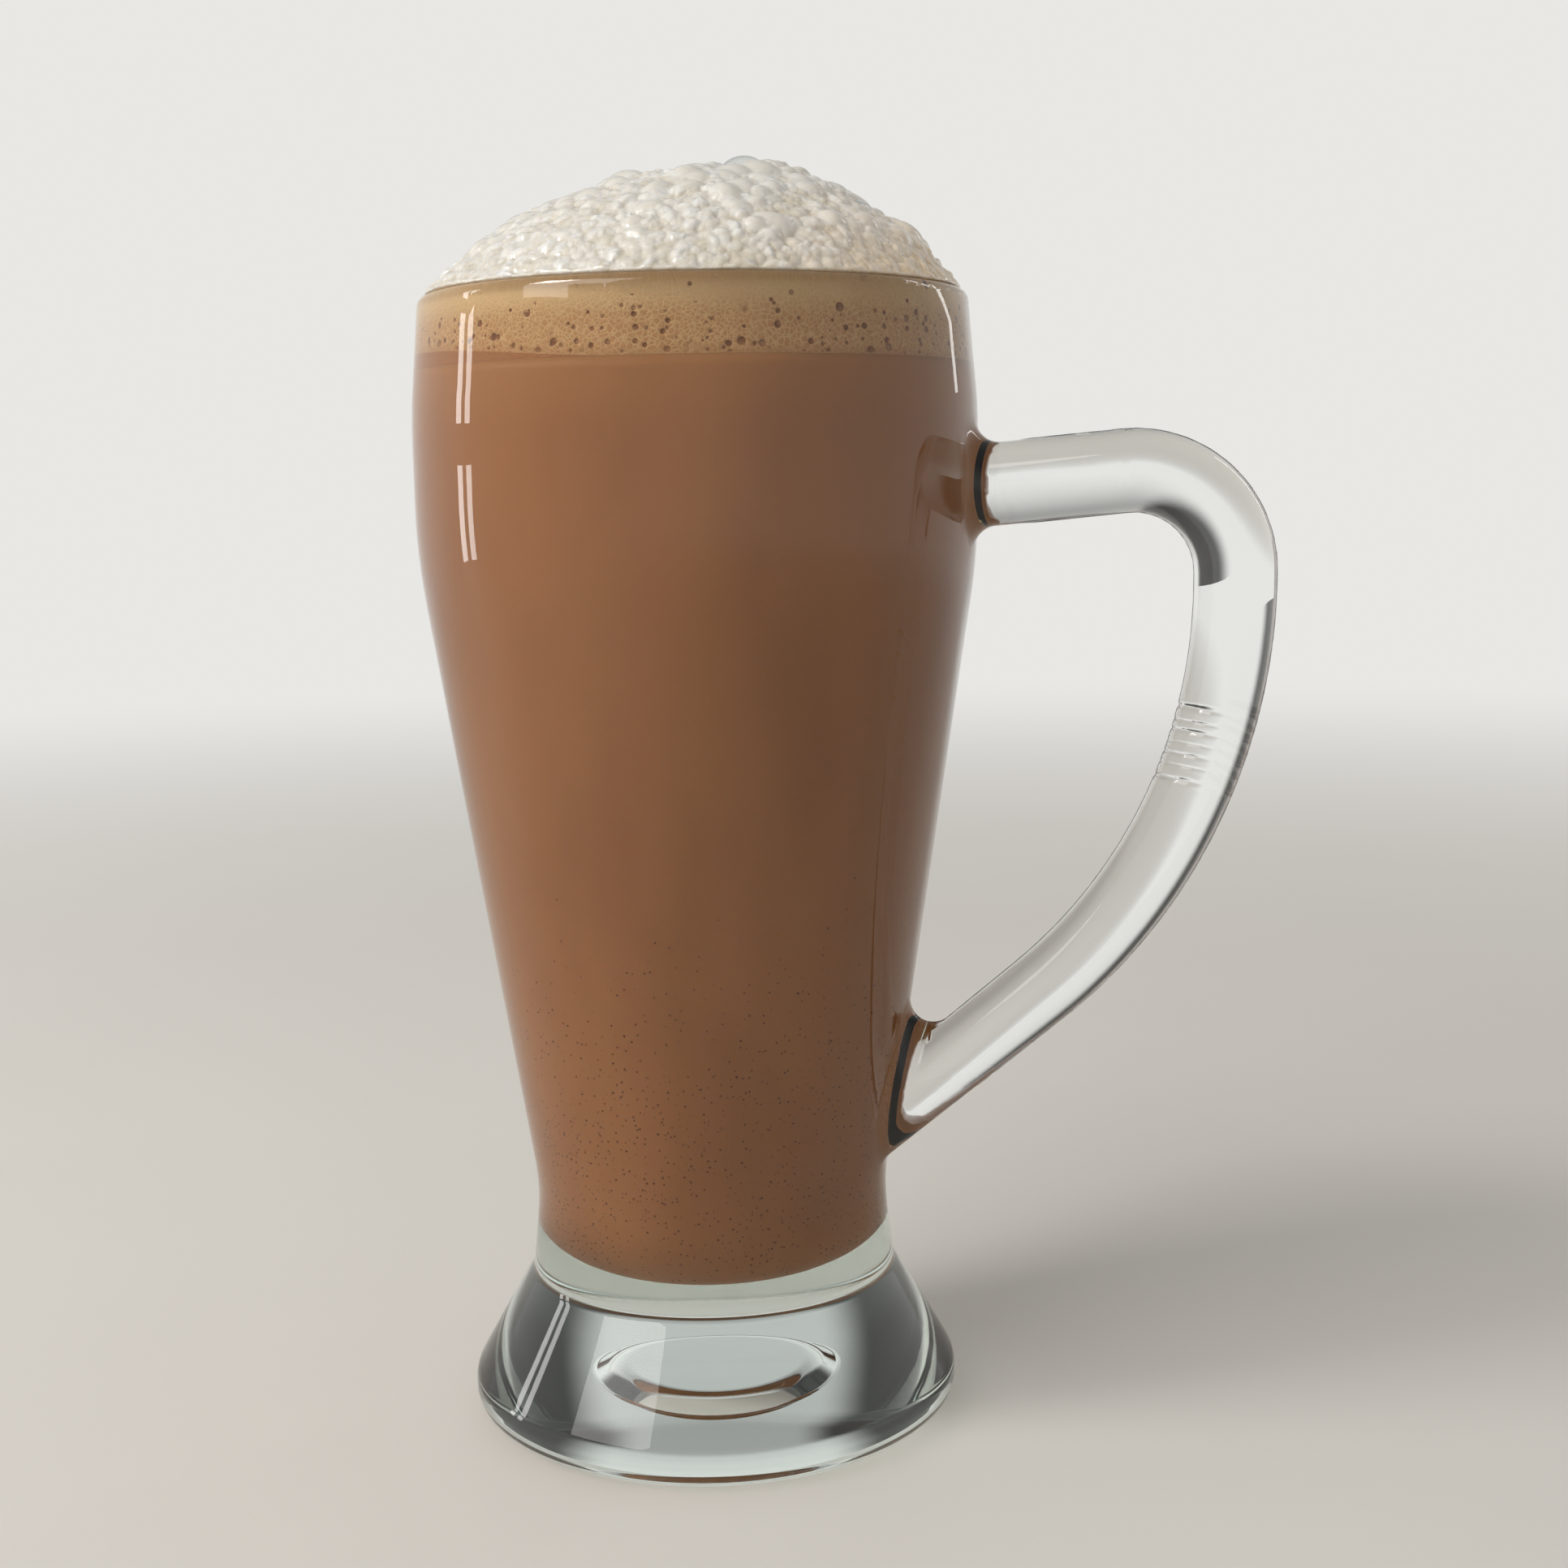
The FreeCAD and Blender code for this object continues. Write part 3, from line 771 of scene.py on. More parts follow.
def tea_material(mug, tea):
    """Opaque milk tea with faint clouds and tea dust that settles towards the bottom."""
    make = Material("milk_tea", Roughness=0.42, Specular_IOR_Level=0.08,
                    Subsurface_Weight=0.35, Subsurface_Scale=2.2 * MM,
                    Subsurface_Radius=(1.0, 0.55, 0.3))
    place = make.place()
    height = make.axes(place)[2]
    clouds = make.ramp(make.noise(make.vector("MULTIPLY", place, (1.0, 1.0, 0.45)), 19 * MM,
                                  detail=3.0), 0.38, 0.68)
    base = make.mix(clouds * 0.55, opaque(tea.body_colour), opaque(tea.deep_colour))
    under_froth = make.ramp(height, tea.level - 9 * MM, tea.level - 0.5 * MM)
    base = make.mix(under_froth * 0.6, base, opaque(tea.top_colour))
    dust = make.cells(place, 0.9 * MM)
    seen = make.out(dust, "Distance")
    grain = make.axes(make.out(dust, "Color"))
    size = grain[0] * 0.12 + 0.05
    low = make.ramp(height, tea.speck_top, mug.floor_height)
    wanted = grain[1].above(1.0 - 0.55 * low)
    speck = make.ramp(seen - size, 0.05, -0.03) * wanted
    base = make.mix(speck * 0.75, base, opaque(tea.speck_colour))
    make.set("Base Color", base)
    make.set("Normal", make.bump(make.noise(place, 1.4 * MM, detail=2.0), 0.02 * MM, 0.4))
    return make.material


def speck_material(tea):
    """Wet tea dust."""
    make = Material("tea_dust", Roughness=0.5, Specular_IOR_Level=0.1)
    tone = make.noise(make.place(), 3 * MM, detail=1.0)
    pale = tuple(0.55 * s + 0.45 * b for s, b in zip(tea.speck_colour, tea.body_colour))
    make.set("Base Color", make.mix(make.ramp(tone, 0.35, 0.65), opaque(tea.speck_colour),
                                    opaque(pale)))
    return make.material


def band_material(mug, tea, froth):
    """Froth against the glass: a fine net of cells with darker round bubbles."""
    make = Material("froth_in_bowl", Roughness=0.4, Specular_IOR_Level=0.12,
                    Subsurface_Weight=0.3, Subsurface_Scale=1.2 * MM,
                    Subsurface_Radius=(1.0, 0.7, 0.45))
    place = make.place()
    height = make.axes(place)[2]
    net = make.out(make.cells(place, 0.5 * MM, "DISTANCE_TO_EDGE"), "Distance")
    coarse = make.out(make.cells(make.moved(place, (0.3, 0.1, 0.2)), 0.72 * MM,
                                 "DISTANCE_TO_EDGE"), "Distance")
    patch = make.ramp(make.noise(place, 5 * MM, detail=2.0), 0.42, 0.6)
    cell = make.ramp(net, 0.02, 0.2) * (1.0 - patch) + make.ramp(coarse, 0.015, 0.17) * patch
    low = make.ramp(height, mug.glass_height - 1.5 * MM, mug.glass_height - 5.5 * MM)
    base = make.mix(0.08 + cell * (0.1 + 0.34 * low) + 0.34 * low, opaque(froth.band_colour),
                    opaque(froth.cell_colour))
    pit = make.pits(place, tea.level, mug.glass_height)
    ring = make.ramp(pit, 0.0, 0.12) * make.ramp(pit, 0.5, 0.2)
    tones = make.ramp(make.noise(place, 1.1 * MM, detail=0.0), 0.35, 0.65, 0.55, 0.95)
    base = make.mix(make.ramp(pit, 0.0, 0.16) * tones, base, opaque(froth.pit_colour))
    base = make.mix(ring * 0.35, base, opaque(tuple(0.6 * c for c in froth.pit_colour)))
    floor = make.froth_floor(place, tea.level)
    base = make.mix(make.ramp(height, floor + 1.6 * MM, floor) * 0.45, base,
                    opaque(tea.top_colour))
    base = make.mix(make.ramp(height, floor + 0.1 * MM, floor - 0.06 * MM), base,
                    opaque(tea.body_colour))
    make.set("Base Color", base)
    make.set("Normal", make.bump(cell, 0.05 * MM, 0.5))
    return make.material


def dome_material(froth, dome):
    """Wet glossy froth: small bright bubbles with painted shade in the creases and gaps between them,
    larger ones with clearer, darker skins, and painted shade on the handle's side, tan lower down."""
    make = Material("froth_skin", Roughness=0.3, IOR=1.34, Coat_Roughness=0.05, Coat_IOR=1.6,
                    Subsurface_Weight=0.4, Subsurface_Scale=0.6 * MM,
                    Subsurface_Radius=(1.0, 0.85, 0.65))
    place = make.place()
    large = make.attribute("bubble")
    crease_shade = make.attribute("crease_shade")
    small = make.out(make.cells(place, froth.small_bubble * 0.85), "Distance")
    fine = make.out(make.cells(place, froth.fine_bubble), "Distance")
    finest = make.out(make.cells(place, froth.fine_bubble * 0.55), "Distance")
    x, y, height = make.axes(place)
    side = x * SIDE_X + y * SIDE_Y
    away = make.ramp(side, 12 * MM, -30 * MM)
    patch = make.ramp(make.noise(place, 6 * MM, detail=2.0) + away * 0.22, 0.46, 0.6)
    clouds = make.ramp(make.noise(place, 9 * MM, detail=3.0), 0.4, 0.66)
    # painted shade: the gaps between the small bubbles and the creases between the caps are darkened; the clouds are a
    # random tone and the large bubbles' darker skins are their own colour
    gaps = make.ramp(small, 0.42, 0.75) * (1.0 - large)
    shade = (clouds * 0.16 + large * 0.3 + crease_shade * 0.4 + gaps * 0.35).most(1.0)
    base = make.mix(shade, opaque(froth.dome_colour), opaque(froth.shade_colour))
    # painted shade: the dome's side towards the handle, away from the lamps, is mixed towards the band's tan, more so
    # lower down
    handle_side_shade = make.ramp(side, 2 * MM, 34 * MM)
    handle_side_shade = handle_side_shade * make.ramp(height, dome.base + froth.dome_rise, dome.base)
    base = make.mix(handle_side_shade * 0.6, base, opaque(froth.band_colour))
    make.set("Base Color", base)
    make.set("Roughness", 0.34 - 0.14 * large)
    make.set("Coat Weight", 0.75 + 0.2 * large)
    beads = small * small * (1.0 - patch * 0.8) + fine * fine * (patch * 0.62) + finest * 0.05
    normal = make.bump(1.0 - beads, froth.small_bubble * 0.42, 0.42 * (1.0 - large * 0.85))
    make.set("Normal", normal)
    return make.material


def film_material():
    """The clear film of a large bubble."""
    make = Material("bubble_film", Base_Color=(0.93, 0.955, 0.945, 1.0), Roughness=0.0,
                    IOR=1.33, Transmission_Weight=1.0)
    drain = make.noise(make.place(), 1.6 * MM, detail=1.0)
    make.set("Normal", make.bump(drain, 0.03 * MM, 0.3))
    clear = make.out(make.node("ShaderNodeBsdfTransparent", None,
                               {"Color": (0.97, 0.97, 0.97, 1.0)}))
    make.surface(make.mix_shader(make.light_path("Is Shadow Ray"),
                                 make.out(make.shader), clear))
    return make.material


# ---------------------------------------------------------------- the mug

def handle_line(mug):
    """The handle's centre line, and the clear part of it outside the bowl."""
    corners = ((mug.rim_radius - mug.handle_root_depth, mug.handle_top, 0.0),
               (mug.handle_reach, mug.handle_top + mug.handle_rise, mug.handle_bend_round),
               (mug.handle_reach, mug.handle_sweep_height, mug.handle_sweep_round),
               (mug.waist_radius - mug.handle_root_depth, mug.handle_foot_height, 0.0))
    line = divided(rounded(corners, 0.8 * MM), 0.8 * MM)
    points = np.array([(p.x, p.y) for p in line])
    runs = np.hypot(*np.diff(points, axis=0).T)
    along = np.concatenate([[0.0], np.cumsum(runs)])
    return points, along


# how far the handle's ends lie inside the glass, with its fillets, and its widest radius
UPPER_ROOT, LOWER_ROOT, WIDEST_ROD = 12.5 * MM, 20.0 * MM, 5.9 * MM
# the longest edges of the handle and the foot, and the shortest that is kept
HANDLE_EDGE, FOOT_EDGE, SLIVER = 1.3 * MM, 1.5 * MM, 0.004 * MM
# the chill marks: each one's place as a share of their spread, and its width in millimetres
FOLDS = ((-0.82, 0.30), (-0.5, 0.16), (-0.24, 0.22), (0.02, 0.14), (0.3, 0.26), (0.52, 0.16),
         (0.84, 0.34))
WIDEST_FOLD = 0.34
FOLD_CUTS = 90


def along_handle(line, places):
    """For places on the handle: how far along it they are, how far that is from its nearer
    root, and the way out to them. Off the handle's clear part the distance is below zero."""
    points, along = line
    near, share, off = nearest_on(points, places[:, (0, 2)])
    far = along[near] + share * np.diff(along)[near]
    out = np.stack([off[:, 0], places[:, 1], off[:, 1]], -1)
    clear = np.minimum(far - UPPER_ROOT, along[-1] - far - LOWER_ROOT)
    clear = np.where(np.linalg.norm(out, axis=1) > WIDEST_ROD, -1.0, clear)
    return far, clear, out


def beside(line, place):
    """The way out from the handle's centre line to one place, and its distance from a root."""
    clear, out = along_handle(line, np.array([place]))[1:]
    return Vector(out[0]).normalized(), float(clear[0])


def triangulate(shape):
    bmesh.ops.triangulate(shape, faces=[f for f in shape.faces if len(f.verts) > 3])


def smooth_step(value, low, high):
    share = np.clip((value - low) / (high - low), 0.0, 1.0)
    return share * share * (3.0 - 2.0 * share)


class Piece(bpy.types.Operator):
    """What every operator of this object shares"""

    bl_options = {"REGISTER", "UNDO"}

    def props(self, context):
        scene = context.scene
        return scene.tt_mug, scene.tt_tea, scene.tt_froth, scene.tt_stage


class TEHTARIK_OT_glass_mug(Piece):
    """Makes the glass mug with its foot, its handle, the mould seam and the chill marks"""

    bl_idname = "tehtarik.glass_mug"
    bl_label = "Glass Mug"

    def execute(self, context):
        mug = self.props(context)[0]
        solid = frame["nodes"]["glass_mug"].data
        shape = bmesh.new()
        shape.from_mesh(solid)
        bmesh.ops.remove_doubles(shape, verts=shape.verts, dist=0.001 * MM)
        line = handle_line(mug)
        on_handle = shape.faces.layers.int.new("on_handle")
        shape.verts.index_update()
        clear = along_handle(line, np.array([v.co for v in shape.verts]))[1]
        for face in shape.faces:
            face[on_handle] = all(clear[v.index] > 0.0 for v in face.verts)
        self.refine(shape, lambda face: face[on_handle], HANDLE_EDGE)
        self.refine(shape, lambda face: all(self.on_foot(mug, v.co) for v in face.verts),
                    FOOT_EDGE)
        self.round_handle(shape, line, on_handle)
        self.round_foot(shape, mug)
        changed = self.raise_seam(shape, mug, line, on_handle)
        changed |= self.wrinkle(shape, mug, line, on_handle)
        # the cuts leave slivers, which would keep the mesh from being closed
        for _ in range(3):
            bmesh.ops.dissolve_degenerate(shape, dist=SLIVER, edges=list(shape.edges))
            triangulate(shape)
        shape.verts.index_update()
        numbers = {vertex.index for vertex in changed if vertex.is_valid}
        exact = self.exact_normals(shape, mug, line, on_handle)
        mesh = bpy.data.meshes.new("mug_glass")
        shape.to_mesh(mesh)
        shape.free()
        mesh.shade_smooth()
        self.keep_normals(mesh, solid, numbers, exact)
        mesh.materials.clear()
        mesh.materials.append(glass_material(mug))
        piece = new_object("mug_glass", mesh)
        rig.ride(piece, "root")
        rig.replaces(piece, "glass_mug")
        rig.slot(piece, "glass")
        return {"FINISHED"}

    @staticmethod
    def on_foot(mug, place):
        """Whether a place is on the foot's outside, below the handle."""
        radius = math.hypot(place.x, place.y)
        inside = place.z > mug.neck_height and radius < mug.neck_radius - 2 * MM
        return place.z < mug.neck_height + 3.5 * MM and not inside

    @staticmethod
    def refine(shape, chosen, longest):
        """Splits the long edges of chosen faces and leaves triangles."""
        for _ in range(4):
            edges = {e for f in shape.faces if chosen(f) for e in f.edges
                     if e.calc_length() > longest}
            bmesh.ops.subdivide_edges(shape, edges=list(edges), cuts=1)
            triangulate(shape)

    @staticmethod
    def round_handle(shape, line, on_handle):
        """Puts the handle's points on its true round surface."""
        verts = [v for v in shape.verts if any(f[on_handle] for f in v.link_faces)]
        places = np.array([v.co for v in verts])
        far, clear, out = along_handle(line, places)
        girth = np.linalg.norm(out, axis=1)
        sure = clear > 1 * MM
        law = np.polyfit(far[sure], girth[sure], 1)
        outer = sure & (girth > np.polyval(law, far) - 0.01 * MM)
        law = np.polyfit(far[outer], girth[outer], 2)
        wanted = np.maximum(np.polyval(law, far), girth)
        part = smooth_step(clear, 0.0, 2 * MM)
        moves = out / girth[:, None] * ((wanted - girth) * part)[:, None]
        for vertex, move in zip(verts, moves):
            vertex.co += Vector(move)

    def round_foot(self, shape, mug):
        """Puts the foot's points on its true outline."""
        outline = foot_line(mug)
        verts = [v for v in shape.verts if self.on_foot(mug, v.co)]
        places = np.array([(math.hypot(v.co.x, v.co.y), v.co.z) for v in verts])
        off = nearest_on(outline, places)[2]
        for vertex, (radius, height), (wide, high) in zip(verts, places, off):
            if radius > 0.01 * MM and math.hypot(wide, high) < 0.15 * MM:
                grow = (radius - wide) / radius
                vertex.co = Vector((vertex.co.x * grow, vertex.co.y * grow, height - high))

    def exact_normals(self, shape, mug, line, on_handle):
        """The true normals of the handle and of the foot's outside, by vertex number."""
        exact = {}
        points, along = line
        run = np.diff(points, axis=0)
        middles = (along[:-1] + along[1:]) / 2.0
        spread = 4 * MM
        weights = np.exp(-((along[:, None] - middles) / spread) ** 2)
        weights *= np.linalg.norm(run, axis=1)
        way = weights @ (run / np.linalg.norm(run, axis=1)[:, None])
        way /= np.linalg.norm(way, axis=1)[:, None]
        verts = [v for v in shape.verts if all(f[on_handle] for f in v.link_faces)]
        far, clear, out = along_handle(line, np.array([v.co for v in verts]))
        ahead = np.stack([np.interp(far, along, way[:, 0]), np.zeros(len(far)),
                          np.interp(far, along, way[:, 1])], -1)
        ahead /= np.linalg.norm(ahead, axis=1)[:, None]
        out -= ahead * (out * ahead).sum(-1)[:, None]
        for vertex, near_root, normal in zip(verts, clear, out):
            if near_root > 2 * MM:
                exact[vertex.index] = Vector(normal).normalized()
        outline = np.array(rounded(foot_outside(mug), 0.05 * MM))
        runs = np.diff(outline, axis=0)
        across = np.stack([runs[:, 1], -runs[:, 0]], -1)
        across /= np.linalg.norm(across, axis=1)[:, None]
        verts = [v for v in shape.verts if self.on_foot(mug, v.co)]
        places = np.array([(math.hypot(v.co.x, v.co.y), v.co.z) for v in verts])
        near, share, off = nearest_on(outline, places)
        before = across[np.maximum(near - 1, 0)]
        after = across[np.minimum(near + 1, len(across) - 1)]
        lean = np.where(share[:, None] < 0.5,
                        across[near] * (0.5 + share[:, None]) + before * (0.5 - share[:, None]),
                        across[near] * (1.5 - share[:, None]) + after * (share[:, None] - 0.5))
        for vertex, (radius, _), (wide, high), miss in zip(verts, places, lean, off):
            if math.hypot(*miss) < 0.02 * MM:
                away = max(radius, 0.001 * MM)
                exact[vertex.index] = Vector((wide * vertex.co.x / away,
                                              wide * vertex.co.y / away, high)).normalized()
        return exact

    @staticmethod
    def cut(shape, faces, level, across):
        """Cuts faces with a plane."""
        edges = {e for f in faces for e in f.edges}
        verts = {v for f in faces for v in f.verts}
        bmesh.ops.bisect_plane(shape, geom=list(faces) + list(edges) + list(verts),
                               dist=0.0005 * MM, plane_co=level, plane_no=across)

    def raise_seam(self, shape, mug, line, on_handle):
        """The fine ridge that the mould's halves leave along the handle's two edges."""
        for share in (-1.0, -0.5, 0.0, 0.5, 1.0):
            level = share * mug.seam_width
            faces = [f for f in shape.faces if f[on_handle]
                     and min(v.co.y for v in f.verts) < level < max(v.co.y for v in f.verts)]
            self.cut(shape, faces, (0.0, level, 0.0), (0.0, 1.0, 0.0))
        changed = set()
        for vertex in shape.verts:
            off = abs(vertex.co.y) / mug.seam_width
            if off < 0.999 and any(f[on_handle] for f in vertex.link_faces):
                out, clear = beside(line, vertex.co)
                fade = smooth_step(clear, 0.0, 3.0 * MM)
                vertex.co += out * (mug.seam_height * (1.0 - off) * fade)
                changed.add(vertex)
        return changed

    def wrinkle(self, shape, mug, line, on_handle):
        """Fine folds across the handle's inner side where the glass chilled in the mould."""
        spread = mug.wrinkle_spread
        across = Vector((0.20, 0.0, 1.0)).normalized()
        middle = Vector((mug.handle_reach, 0.0, mug.wrinkle_level))
        faces = {f for f in shape.faces if f[on_handle]
                 and any(abs((v.co - middle).dot(across)) < spread for v in f.verts)}
        verts = {v for f in faces for v in f.verts}
        geometry = list(faces) + list({e for f in faces for e in f.edges}) + list(verts)
        for cut in range(FOLD_CUTS + 1):
            level = middle + across * (spread * (2.0 * cut / FOLD_CUTS - 1.0))
            made = bmesh.ops.bisect_plane(shape, geom=geometry, dist=0.0005 * MM,
                                          plane_co=level, plane_no=across)
            geometry = made["geom"]
        facing = Vector((-0.80, -0.60, 0.0))
        changed = set()
        moves = []
        for vertex in {v for v in geometry if isinstance(v, bmesh.types.BMVert)}:
            away = (vertex.co - middle).dot(across)
            out = beside(line, vertex.co)[0]
            side = smooth_step(out.normalized().dot(facing), 0.35, 0.85)
            if abs(away) > spread or side <= 0.0:
                continue
            bend = 0.5 * MM * math.sin(260.0 * vertex.co.y + 1.0)
            depth = 0.0
            for fold, width in FOLDS:
                off = (away + bend - fold * spread) / (width * MM)
                depth += math.exp(-off * off) * (width / WIDEST_FOLD)
            moves.append((vertex, out * (-mug.wrinkle_height * depth * side)))
        for vertex, move in moves:
            vertex.co += move
            changed.add(vertex)
        return changed

    @staticmethod
    def keep_normals(mesh, solid, changed, exact):
        """Gives the mesh its true normals, and the solid's own elsewhere, except where the
        mesh was changed."""
        solid.calc_loop_triangles()
        corners = [corner.vector.copy() for corner in solid.corner_normals]
        triangles = solid.loop_triangles
        places = [v.co.copy() for v in solid.vertices]
        tree = BVHTree.FromPolygons(places, [tuple(t.vertices) for t in triangles])
        normals = []
        for vertex in mesh.vertices:
            if vertex.index in changed:
                normals.append(Vector((0.0, 0.0, 0.0)))
                continue
            if vertex.index in exact:
                normals.append(exact[vertex.index])
                continue
            found, _, face, _ = tree.find_nearest(vertex.co)
            triangle = triangles[face]
            shares = poly_3d_calc([places[i] for i in triangle.vertices], found)
            normals.append(sum((corners[loop] * share for loop, share
                                in zip(triangle.loops, shares)), Vector()).normalized())
        mesh.normals_split_custom_set_from_vertices(normals)


class TEHTARIK_OT_tea(Piece):
    """Makes the tea, which fills the bowl up to the froth"""

    bl_idname = "tehtarik.tea"
    bl_label = "Milk Tea"

    def execute(self, context):
        mug, tea = self.props(context)[:2]
        inside = divided(rounded(bowl_inside(mug, tea.wall_reach), 1.2 * MM), 1.6 * MM)
        rising = cut_outline(inside, mug.floor_height, tea.level)
        floor = [point for point in inside if point.y <= mug.floor_height]
        outline = floor + rising + [Vector((0.0, tea.level))]
        piece = new_object("milk_tea", turned("milk_tea", outline, 160))
        piece.data.materials.append(tea_material(mug, tea))
        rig.ride(piece, "root")
        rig.replaces(piece, "tea")
        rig.slot(piece, "tea")
        return {"FINISHED"}


class TEHTARIK_OT_tea_dust(Piece):
    """Scatters fine specks of tea dust against the glass, more of them lower down"""

    bl_idname = "tehtarik.tea_dust"
    bl_label = "Tea Dust"

    def execute(self, context):
        mug, tea = self.props(context)[:2]
        inside = divided(rounded(bowl_inside(mug, tea.wall_reach), 1.2 * MM), 2.5 * MM)
        rising = cut_outline(inside, mug.floor_height + 1 * MM, tea.speck_top)
        sheet = [Vector((0.0, rising[0].y))] + rising + [Vector((0.0, rising[-1].y))]
        piece = new_object("tea_dust", turned("tea_dust", sheet, 96))
        grow = Growth("tea_dust")
        size = grow.input("Speck Size", tea.speck_size)
        most = grow.input("Density", tea.speck_density)
        seed = grow.input("Seed", tea.seed, "NodeSocketInt")
        place = grow.out(grow.node("GeometryNodeInputPosition"))
        height = grow.axes(place)[2]
        normal = grow.axes(grow.out(grow.node("GeometryNodeInputNormal")))[2]
        upright = grow.ramp(grow.math("ABSOLUTE", normal), 0.9, 0.6)
        settle = grow.ramp(height, tea.speck_top, mug.floor_height + 12 * MM) ** 1.6
        clouds = grow.ramp(grow.noise(place, 11 * MM, detail=2.0), 0.35, 0.65, 0.35, 1.0)
        points = grow.node("GeometryNodeDistributePointsOnFaces",
                           {"distribute_method": "RANDOM"},
                           {"Mesh": grow.geometry(), "Density": most * settle * clouds * upright,
                            "Seed": seed})
        speck = grow.node("GeometryNodeMeshIcoSphere", None, {"Radius": 1.0, "Subdivisions": 1})
        random = grow.node("FunctionNodeRandomValue", {"data_type": "FLOAT"},
                           {"Min": 0.5, "Max": 1.6, "Seed": seed})
        place_them = grow.node("GeometryNodeInstanceOnPoints", None, {
            "Points": grow.out(points), "Instance": grow.out(speck),
            "Rotation": grow.out(points, "Rotation"),
            "Scale": grow.out(random, "Value") * size})
        grow.finish(grow.out(place_them), speck_material(tea), piece)
        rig.ride(piece, "root")
        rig.slot(piece, "tea")
        return {"FINISHED"}


class TEHTARIK_OT_froth_band(Piece):
    """Makes the froth inside the bowl, with the round bubbles that show against the glass"""

    bl_idname = "tehtarik.froth_band"
    bl_label = "Froth in the Bowl"

    def execute(self, context):
        mug, tea, froth = self.props(context)[:3]
        reach = tea.wall_reach
        inside = divided(rounded(bowl_inside(mug, reach), 0.5 * MM), 0.21 * MM)
        crest = mug.glass_height - mug.rim_inner_round
        wall = cut_outline(inside, tea.level - 0.02 * MM, crest)
        lip = mug.rim_radius - mug.wall + mug.rim_inner_round
        over = [Vector((lip - mug.rim_inner_round * math.cos(turn) + reach * math.cos(turn),
                        crest + mug.rim_inner_round * math.sin(turn) - reach * math.sin(turn)))
                for turn in (0.25, 0.6, 0.95, 1.3, 1.55)]
        outline = ([Vector((0.0, wall[0].y)), Vector((wall[0].x - 2 * MM, wall[0].y))]
                   + wall + over + [Vector((0.0, over[-1].y))])
        piece = new_object("froth_band", turned("froth_band", outline, 900))
        grow = Growth("froth_band")
        deep = grow.input("Pit Depth", 0.18 * MM)
        place = grow.out(grow.node("GeometryNodeInputPosition"))
        pits = grow.pits(place, tea.level, mug.glass_height)
        dent = (pits * (2.0 - pits)).least(0.0).root()
        normal = grow.out(grow.node("GeometryNodeInputNormal"))
        move = grow.vector("SCALE", normal)
        grow.feed(move.socket.node.inputs["Scale"], dent * deep * -1.0)
        shaped = grow.node("GeometryNodeSetPosition", None,
                           {"Geometry": grow.geometry(), "Offset": move})
        grow.finish(grow.out(shaped), band_material(mug, tea, froth), piece)
        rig.ride(piece, "root")
        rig.replaces(piece, "froth")
        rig.slot(piece, "froth")
        return {"FINISHED"}


# clear bubbles: distance from the peak in millimetres, direction, share of the largest
# one's radius, and how deep each is sunk as a share of its own
FILMS = ((2.1, 3.42, 1.0, 0.5), (7.4, 3.5, 0.56, 0.5), (2.6, 0.6, 0.5, 0.35),
         (12.0, 0.15, 0.44, 0.75), (5.6, 5.2, 0.5, 0.6), (22.0, 3.3, 0.45, 0.6),
         (15.0, 5.9, 0.38, 0.7), (9.6, 1.4, 0.5, 0.6), (17.0, 2.3, 0.42, 0.6))


def film_places(dome):
    """The middles and radii of the large clear bubbles."""
    big = dome.froth.film_radius
    found = []
    for away, turn, part, sunk in FILMS:
        middle = dome.at(away * MM, turn)
        found.append((middle - Vector((0.0, 0.0, big * part * sunk)), big * part))
    return found


